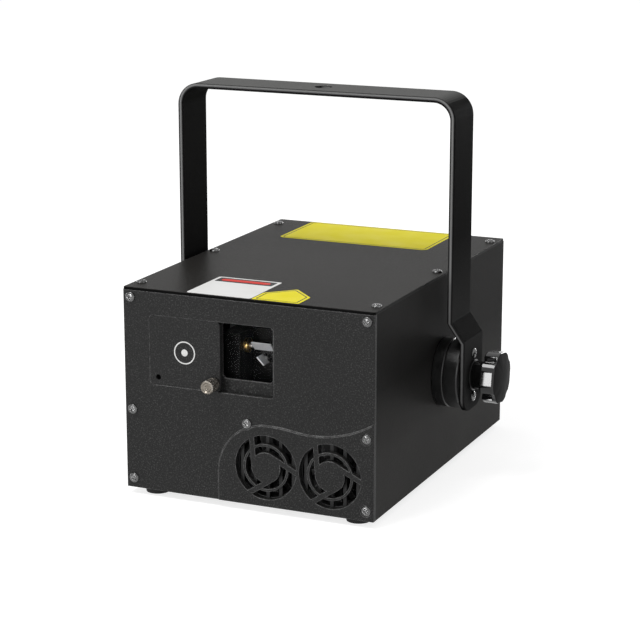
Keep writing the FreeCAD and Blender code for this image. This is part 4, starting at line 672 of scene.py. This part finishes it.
# outline through given corners, each corner cut by a small round
def cornered(corners, cut, steps=5):
    corners = np.array(corners, float)
    before, after = np.roll(corners, 1, 0) - corners, np.roll(corners, -1, 0) - corners
    before /= np.linalg.norm(before, axis=1, keepdims=True)
    after /= np.linalg.norm(after, axis=1, keepdims=True)
    t = np.linspace(0, 1, steps)[None, :, None]
    start, end = (corners + cut * before)[:, None], (corners + cut * after)[:, None]
    curve = (1 - t) ** 2 * start + 2 * t * (1 - t) * corners[:, None] + t ** 2 * end
    return curve.reshape(-1, 2)


# thin film on a face: the outline shrinks to its middle, and its rim drops to the face
filmShares = ((0.0, 1.0), (0.55, 1.0), (0.985, 1.0), (1.0, 0.6), (1.0, 0.0), (0.5, 0.0), (0.0, 0.0))


def scaled(outline, share):
    middle = outline.mean(0)
    return middle + (outline - middle) * share


def filmGrid(outline, thickness, lift=0.0):
    return ringStack([(scaled(outline, share), lift + level * thickness) for share, level in filmShares])


# printed line between an outline and the same outline drawn in by a step
def lineGrid(outer, inner, thickness, lift=0.0):
    low, high = lift, lift + thickness
    return ringStack([(outer, low), (outer, high), (inner, high), (inner, low), (outer, low)])


decalSpec = dict(film=0.12, ink=0.03, mark=0.04, lineInset=2.2, lineWidth=0.8, leastCorner=0.4, sharp=50)
wideLabel = dict(low=(-70.0, 62.0), high=(58.7, 130.0), corner=5.0)
paleLabel = dict(
    low=(-49.0, -142.2), high=(2.6, -87.0), corner=2.0, band=((-46.5, -101.5), (0.1, -89.5), 1.0),
    bar=((-43.0, -98.5), (-3.4, -92.5), 2.9))
arrowLabel = dict(
    corners=[(3.4, -142.2), (40.7, -142.2), (40.7, -121.6), (22.0, -102.4), (3.4, -121.6)], cut=1.6, inset=0.88,
    line=0.05)


def drawIn(spec, step):
    low, high = np.array(spec["low"]) + step, np.array(spec["high"]) - step
    return roundedBox(low, high, max(spec["corner"] - step, decalSpec["leastCorner"]))


def topFilm(name, grid, look):
    makePiece(name, [grid], look, "case", "case_coat", filmSharp, topSeat(0.0, 0.0))


film, ink, mark, filmSharp, lineFrom = pick(decalSpec, "film ink mark sharp lineInset")
wideLine = [drawIn(wideLabel, step) for step in (lineFrom, lineFrom + decalSpec["lineWidth"])]
topFilm("wideDecal", filmGrid(drawIn(wideLabel, 0), film), "yellowFilm")
topFilm("wideDecalLine", lineGrid(*wideLine, ink, film), "darkInk")
topFilm("paleDecal", filmGrid(drawIn(paleLabel, 0), film), "whiteFilm")
topFilm("paleDecalBand", filmGrid(roundedBox(*paleLabel["band"]), ink, film), "darkInk")
topFilm("paleDecalBar", filmGrid(roundedBox(*paleLabel["bar"]), ink, film + ink), "redInk")
arrowOuter = cornered(arrowLabel["corners"], arrowLabel["cut"])
arrowLine = [scaled(arrowOuter, arrowLabel["inset"] - step) for step in (0, arrowLabel["line"])]
topFilm("arrowDecal", filmGrid(arrowOuter, film), "yellowFilm")
topFilm("arrowDecalLine", lineGrid(*arrowLine, ink, film), "darkInk")


def ringLine(spec, count=72):
    return lineGrid(circle(spec["ring"], count), circle(spec["ring"] - spec["line"], count), mark)


# printed mark on the shutter: a plain ring round a dot
markSpec = dict(x=-50.0, z=114.2, ring=8.6, line=0.9, dot=2.6)
markGrids = [ringLine(markSpec), filmGrid(circle(markSpec["dot"]), mark)]
markSeat = frontSeat(markSpec["x"], markSpec["z"])
makePiece("shutterMark", markGrids, "whiteFilm", "shutter", "front_coat", filmSharp, markSeat)
print("decals laid")


def rearPiece(name, grids, spec, look, slotName, body="case", sharp=35):
    return makePiece(name, grids, look, body, slotName, sharp, rearSeat(spec["x"], spec["z"]))


def plate(halfWidth, halfHeight, corner):
    return roundedBox((-halfWidth, -halfHeight), (halfWidth, halfHeight), corner)


fitting, gold = ("fittingPlastic", "fitting_plastic"), ("goldContacts", "brass")


# raised frame round a well: outlines climb from the flange, turn over a soft edge and drop into the well
def frameGrid(spec):
    outer, inner, soft, height = np.array(spec["frame"]), np.array(spec["well"]), spec["soft"], spec["rise"]
    turned = soft * 0.3  # half way over the edge
    steps = [
        (outer, 0.0), (outer, height - soft), (outer - turned, height - turned), (outer - soft, height),
        (inner + soft, height), (inner + turned, height - turned), (inner, height - soft), (inner, 0.0), (outer, 0.0)]
    return ringStack([(plate(*half, spec["corner"]), out + spec["flange"]) for half, out in steps])


# mains inlet: a soft rim round the well, three blades with rounded tips in it
inletSpec = dict(
    x=-58.0, z=35.5, flange=2.5, frame=(13.6, 9.6), well=(12.0, 8.0), rise=1.0, soft=0.5, corner=1.5, step=6.0,
    blade=(1.25, 2.05, 0.5), taper=((1.0, -15.5), (1.0, -1.4), (0.86, -0.5), (0.5, 0.0), (0.0, 0.0)))
rearPiece("inletRim", [frameGrid(inletSpec)], inletSpec, *fitting)
blade = shareStack(plate(*inletSpec["blade"]), inletSpec["taper"])
blades = [blade + (step * inletSpec["step"], 0, 0) for step in (-1, 0, 1)]
rearPiece("inletBlades", blades, inletSpec, "tinnedBlades", "nickel")

# power switch: a soft frame on the flange, a bar and a ring printed on the rocker's two slopes
switchSpec = dict(
    x=-16.0, z=35.5, flange=2.0, frame=(9.4, 12.4), well=(6.35, 9.35), rise=1.0, soft=0.5, corner=1.6,
    high=(4.2, 8.2), mid=(2.0, 0.0), low=(0.9, -8.2), bar=(0.55, 2.1, 0.2), ring=1.9, line=0.6, spokes=40)
rearPiece("switchFrame", [frameGrid(switchSpec)], switchSpec, *fitting)


def slopeSeat(near, far):
    near, far = np.array(near), np.array(far)
    middle = (near + far) / 2
    run = (far - near) / np.linalg.norm(far - near)
    centre = (switchSpec["x"], case["back"] + middle[0], switchSpec["z"] + middle[1])
    return centre, -xAxis, run[0] * yAxis + run[1] * zAxis, run[1] * yAxis - run[0] * zAxis


barMark = filmGrid(plate(*switchSpec["bar"]), mark)
barMark = seatOn(barMark, *slopeSeat(switchSpec["mid"], switchSpec["high"]))
ringMark = ringLine(switchSpec, switchSpec["spokes"])
ringMark = seatOn(ringMark, *slopeSeat(switchSpec["low"], switchSpec["mid"]))
makePiece("rockerMarks", [barMark, ringMark], "whiteFilm", "rocker", "fitting_plastic", filmSharp)

# signal sockets: a turned collar on each flange, gold sleeves on the prongs, gold cups in the bores, a latch tab
socketSpec = dict(
    flange=2.0, proud=1.1, soft=0.4, lead=(0.5, 0.1), collarSpokes=64, circle=5.0, angles=(90, 210, 330),
    root=-12.0, prong=1.22, prongTip=((1.0, -1.0), (0.8, -0.3), (0.4, 0.0), (0.0, 0.0)), bore=1.24, cup=0.85,
    cupRim=1.7, cupLip=(0.1, 1.85), cupFloor=-11.0, spokes=20)
inSocket = dict(x=-72.0, z=113.5, collar=(11.4, 9.5))
outSocket = dict(
    x=-36.0, z=113.5, collar=(11.4, 8.3), tab=(3.2, 2.3, 0.9), tabUp=13.1,
    tabShares=((1.0, 0.0), (1.0, 1.3), (0.9, 1.7), (0.5, 1.55), (0.0, 1.5)))
root, spokes = pick(socketSpec, "root spokes")


def collarGrid(outer, inner, spec=socketSpec):
    base, crown, soft = spec["flange"], spec["flange"] + spec["proud"], spec["soft"]
    wide, narrow = spec["lead"]
    profile = [(outer, base), (outer, crown - soft), (outer - soft, crown), (inner + wide, crown),
               (inner + narrow, crown - soft), (inner, base), (outer, base)]
    return turnedGrid(profile, spec["collarSpokes"])


angles = np.radians(socketSpec["angles"])
contacts = [(socketSpec["circle"] * math.cos(a), socketSpec["circle"] * math.sin(a), 0.0) for a in angles]
prong = shareStack(circle(socketSpec["prong"], spokes), ((1.0, root), *socketSpec["prongTip"]))
bore, cupRadius, cupRim, cupFloor = pick(socketSpec, "bore cup cupRim cupFloor")
lipInset, lipOut = socketSpec["cupLip"]
cup = turnedGrid([(bore, root), (bore, cupRim), (bore - lipInset, lipOut), (cupRadius, cupRim), (cupRadius, cupFloor),
                  (0.0, cupFloor)], spokes)
for label, spec in (("in", inSocket), ("out", outSocket)):
    rearPiece("signalCollar." + label, [collarGrid(*spec["collar"])], spec, *fitting)
rearPiece("signalProngs", [prong + spot for spot in contacts], inSocket, *gold)
rearPiece("signalCups", [cup + spot for spot in contacts], outSocket, *gold)
latchTab = shareStack(plate(*outSocket["tab"]), outSocket["tabShares"])
rearPiece("latchTab", [latchTab + (0.0, outSocket["tabUp"], socketSpec["flange"])], outSocket, "zincSheet", "nickel")

# small screws of the sockets' flanges and the safety eye
smallSpec = dict(across=9.7, up=12.1, eyeX=8.6, eyeZ=145.5, eyeBase=3.0, length=3.0, share=0.6, twist=31)
smallSeats = [rearSeat(spec["x"] + side * smallSpec["across"], spec["z"] + side * smallSpec["up"], socketSpec["flange"])
              for spec in (inSocket, outSocket) for side in sides]
smallSeats += [rearSeat(side * smallSpec["eyeX"], smallSpec["eyeZ"], smallSpec["eyeBase"]) for side in sides]
smallGrids = screwSet(smallSeats, *pick(smallSpec, "length share twist"))
makePiece("rearScrewHeads", smallGrids, "screwSteel", "case", "screw_steel")

# control connector: flange, D-shaped shell turned over a soft lip, dark insert with two rows of pins, hexagon posts
linkSpec = dict(
    x=49.0, z=53.5, flange=(26.5, 6.25), flangeShare=(0.988, 0.95), flangeCuts=(2.6, 2.5), thick=1.2, wide=19.5,
    slant=1.6, tall=4.2, cut=1.8, wall=0.55, lip=7.2, soft=0.3, foot=(0.4, 0.5), insert=2.4, pitch=2.77, row=1.42,
    rows=((13, 1), (12, -1)), pin=0.5, pinTip=6.2, pinTaper=0.4, pinSpokes=10)
postSpec = dict(
    x=23.5, apothem=2.4, top=5.4, bevel=0.4, crownShare=0.9, mouth=1.4, bore=1.2, lead=0.3, floor=1.8, spokes=48)


def shellAt(inset, spec=linkSpec):
    wide, tall = spec["wide"] - inset, spec["tall"] - inset
    narrow = wide - spec["slant"]
    return cornered([(-narrow, -tall), (narrow, -tall), (wide, tall), (-wide, tall)], spec["cut"] - inset)


def hexagonAt(apothem, count):
    reach = apothem / np.cos((fullTurn(count) + np.pi / 6) % (np.pi / 3) - np.pi / 6)
    return reach[:, None] * circle(1.0, count)


flangeCorners = np.array([(-1, -1), (1, -1), (1, 1), (-1, 1)]) * linkSpec["flange"]
edgeCut, faceCut = linkSpec["flangeCuts"]
flangeEdge = cornered(flangeCorners, edgeCut)
flangeFace = cornered(flangeCorners * linkSpec["flangeShare"], faceCut)
wall, lip, thick, soft, base = pick(linkSpec, "wall lip thick soft insert")
footOut, footUp = linkSpec["foot"]
inside, outside = shellAt(wall), shellAt(0.0)
shellRings = [
    (inside * 0.0, thick), (inside, thick), (inside, lip - soft), (shellAt(wall * 0.7), lip),
    (shellAt(wall * 0.3), lip), (outside, lip - soft), (outside, thick + footUp), (shellAt(-footOut), thick),
    (flangeFace, thick), (flangeEdge, thick - soft), (flangeEdge, 0.0), (flangeEdge * 0.0, 0.0)]
linkShell = rearPiece("connectorShell", [ringStack(shellRings)], linkSpec, "zincSheet", "nickel")
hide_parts("control_connector")
insert = shareStack(inside, ((1.0, thick), (1.0, base), (0.0, base)))
rearPiece("connectorInsert", [insert], linkSpec, *fitting)
pin, pinTip = pick(linkSpec, "pin pinTip")
pinProfile = [(pin, base), (pin, pinTip - linkSpec["pinTaper"]), (pin * 0.5, pinTip), (0.0, pinTip)]
pinForm = turnedGrid(pinProfile, linkSpec["pinSpokes"])
pinSpots = [((step - (count - 1) / 2) * linkSpec["pitch"], side * linkSpec["row"], 0.0)
            for count, side in linkSpec["rows"] for step in range(count)]
rearPiece("connectorPins", [pinForm + spot for spot in pinSpots], linkSpec, *gold)
apothem, top, mouth, bore, floor, spokes = pick(postSpec, "apothem top mouth bore floor spokes")
postProfile = [(apothem * postSpec["crownShare"], top), (mouth, top), (bore, top - postSpec["lead"]),
               (bore, floor), (0.0, floor)]
postFoot = shareStack(hexagonAt(apothem, spokes), ((1.0, thick), (1.0, top - postSpec["bevel"])))
post = np.concatenate([postFoot, turnedGrid(postProfile, spokes)])
rearPiece("connectorPosts", [post + (side * postSpec["x"], 0, 0) for side in sides], linkSpec, "studSteel", "nickel")

# key switch and key: a turned lock with a grooved face; a tubular stem under a flat bow pierced for a ring
lockSpec = dict(
    x=16.0, z=107.5, spokes=72, sharp=30,
    profile=((0.0, -3.0), (3.98, -3.0), (3.98, 4.6), (4.4, 5.0), (6.6, 5.0), (6.9, 4.5), (7.4, 4.5), (7.7, 5.0),
        (8.8, 5.0), (9.3, 4.7), (9.5, 4.2), (9.5, 0.0), (8.5, 0.0), (8.5, -21.5), (8.0, -22.0), (0.0, -22.0)))
keySpec = dict(
    stem=((0.0, -3.0), (3.6, -3.0), (3.9, -2.7), (3.9, 9.6), (3.5, 10.0), (3.5, 11.4), (3.3, 12.5), (0.0, 12.5)),
    spokes=40, bow=(10.0, 25.0), halfWidth=10.0, half=1.2, corner=5.0, hole=3.2, holeAt=20.2, soft=0.4)
lockGrid = turnedGrid(lockSpec["profile"], lockSpec["spokes"])
lockPiece = rearPiece("turnedLock", [lockGrid], lockSpec, "nickelPlate", "nickel", sharp=lockSpec["sharp"])
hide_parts("key_switch")


def bowGrid(spec=keySpec):
    near, far = spec["bow"]
    soft, half, wide = pick(spec, "soft half halfWidth")
    hole = plate(spec["hole"], spec["hole"], spec["hole"]) + (spec["holeAt"], 0.0)

    def edge(inset):
        return roundedBox((near + inset, inset - wide), (far - inset, wide - inset), spec["corner"] - inset)
    return ringStack([
        (hole, soft - half), (hole, -half), (edge(soft), -half), (edge(0.0), soft - half), (edge(0.0), half - soft),
        (edge(soft), half), (hole, half), (hole, half - soft), (hole, soft - half)])


keyStem = seatOn(turnedGrid(keySpec["stem"], keySpec["spokes"]), *rearSeat(lockSpec["x"], lockSpec["z"]))
keyBow = seatOn(bowGrid(), (lockSpec["x"], case["back"], lockSpec["z"]), yAxis, zAxis, xAxis)
keyPiece = makePiece("tubularKey", [keyStem, keyBow], "nickelPlate", "key_body", "nickel", lockSpec["sharp"])
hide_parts("key")

# display frame, and menu buttons with soft rims and a printed arrow each
displaySpec = dict(x=16.0, z=127.5, flange=0.0, frame=(23.0, 9.4), well=(20.0, 6.5), rise=0.9, soft=0.4, corner=1.2)
rearPiece("displayFrame", [frameGrid(displaySpec)], displaySpec, *fitting)
buttonSpec = dict(
    x=56.0, z=127.5, pitch=11.0, radius=3.6, reach=1.8, rim=((0.7, 0.0), (0.3, 0.15), (0.0, 0.6)), flange=4.8,
    flangeTop=-2.0, flangeFoot=-3.0, stem=1.8, spokes=40, arrow=((-0.8, -1.3), (1.5, 0.0), (-0.8, 1.3)),
    arrowCut=0.2)
buttonTurns = dict(up=90, down=270, back=180, enter=0)


def buttonGrid(stemEnd, spec=buttonSpec):
    radius, reach, stem, flange = pick(spec, "radius reach stem flange")
    top, foot = pick(spec, "flangeTop flangeFoot")
    profile = [(0.0, reach)] + [(radius - inset, reach - drop) for inset, drop in spec["rim"]]
    profile += [(radius, top), (flange, top), (flange, foot), (stem, foot), (stem, stemEnd), (0.0, stemEnd)]
    return turnedGrid(profile, spec["spokes"])


arrow = filmGrid(cornered(buttonSpec["arrow"], buttonSpec["arrowCut"]), ink)
for label, degrees in buttonTurns.items():
    node, body, angle = "menu_button_" + label, "button_" + label, math.radians(degrees)
    x, z, pitch = pick(buttonSpec, "x z pitch")
    spot = dict(x=x + pitch * math.cos(angle), z=z + pitch * math.sin(angle))
    button = buttonGrid(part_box(node)[0][1] / mm - case["back"])
    cap = rearPiece("menuButton." + label, [button], spot, "buttonPlastic", "button_plastic", body)
    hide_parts(node)
    turnedArrow = spin(arrow, 180 - degrees) + (0, 0, buttonSpec["reach"])
    rearPiece("buttonArrow." + label, [turnedArrow], spot, "whiteFilm", "button_plastic", body, filmSharp)
print("rear fittings detailed")

# stage: pale floor that keeps the shadow, white all round it
stage = dict(size=6.0, ambient=0.55, floorGlow=0.76, floorTone=0.44, white=(1, 1, 1, 1))


def lightPathMask(tree):
    path = addNode(tree, "LightPath").outputs
    seen = larger(tree, path["Is Camera Ray"], path["Is Glossy Ray"])
    return larger(tree, seen, path["Is Transmission Ray"])


scene.world = bpy.data.worlds.new("studioWorld")
scene.world.use_nodes = True
tree = scene.world.node_tree
lift = times(tree, lightPathMask(tree), 1.0 - stage["ambient"])
strength = plus(tree, lift, stage["ambient"])
feed(tree, tree.nodes["Background"].inputs, {"Color": stage["white"], "Strength": strength})

size = stage["size"]
mesh = bpy.data.meshes.new("floor")
mesh.from_pydata([(-size, -size, 0), (size, -size, 0), (size, size, 0), (-size, size, 0)], [], [(0, 1, 2, 3)])
floor = bpy.data.objects.new("floor", mesh)
scene.collection.objects.link(floor)
material = bpy.data.materials.new("paleFloor")
material.use_nodes = True
tree = material.node_tree
tree.nodes.remove(tree.nodes["Principled BSDF"])
glowing = times(tree, lightPathMask(tree), stage["floorGlow"])
matte = addNode(tree, "BsdfDiffuse", {"Color": grey(stage["floorTone"])})
glow = addNode(tree, "Emission", {"Color": stage["white"], "Strength": glowing})
both = addNode(tree, "AddShader", {0: matte.outputs[0], 1: glow.outputs[0]})
feed(tree, tree.nodes["Material Output"].inputs, {"Surface": both.outputs[0]})
mesh.materials.append(material)


# turned so that the object's own -Z looks along a direction
def lookAlong(item, direction):
    item.rotation_euler = direction.to_track_quat("-Z", "Y").to_euler()
    scene.collection.objects.link(item)


lampAim = Vector((0, 0, 0.1))
lampSpec = {
    "topLamp": dict(at=(-0.32, -0.6, 1.4), size=0.6, power=13.0),
    "frontLamp": dict(at=(-0.6, -1.77, 0.26), size=0.45, power=11.0),
    "sideLamp": dict(at=(1.85, -0.5, 0.34), size=0.6, power=5.0),
    "rearLamp": dict(at=(0.3, 1.9, 0.26), size=0.5, power=12.0),
    "leftLamp": dict(at=(-1.8, 0.3, 0.3), size=0.5, power=6.0),
}
for name, spec in lampSpec.items():
    lamp = bpy.data.lights.new(name, "AREA")
    lamp.shape, lamp.size, lamp.energy = "SQUARE", spec["size"], spec["power"]
    item = bpy.data.objects.new(name, lamp)
    item.location = spec["at"]
    lookAlong(item, lampAim - Vector(spec["at"]))

# camera at the photograph's place: turn and rise in degrees, lens for a 36 mm sensor
cameraSpec = dict(eye=(0.62177, -1.41926, 0.50070), turn=23.85, rise=14.12, lens=114.9, sensor=36.0)
data = bpy.data.cameras.new("photoCamera")
data.lens, data.sensor_width = pick(cameraSpec, "lens sensor")
camera = bpy.data.objects.new("photoCamera", data)
turn, rise = np.radians(pick(cameraSpec, "turn rise"))
camera.location = cameraSpec["eye"]
lookAlong(camera, Vector((-math.sin(turn) * math.cos(rise), math.cos(turn) * math.cos(rise), -math.sin(rise))))
scene.camera = camera
print("stage lit")
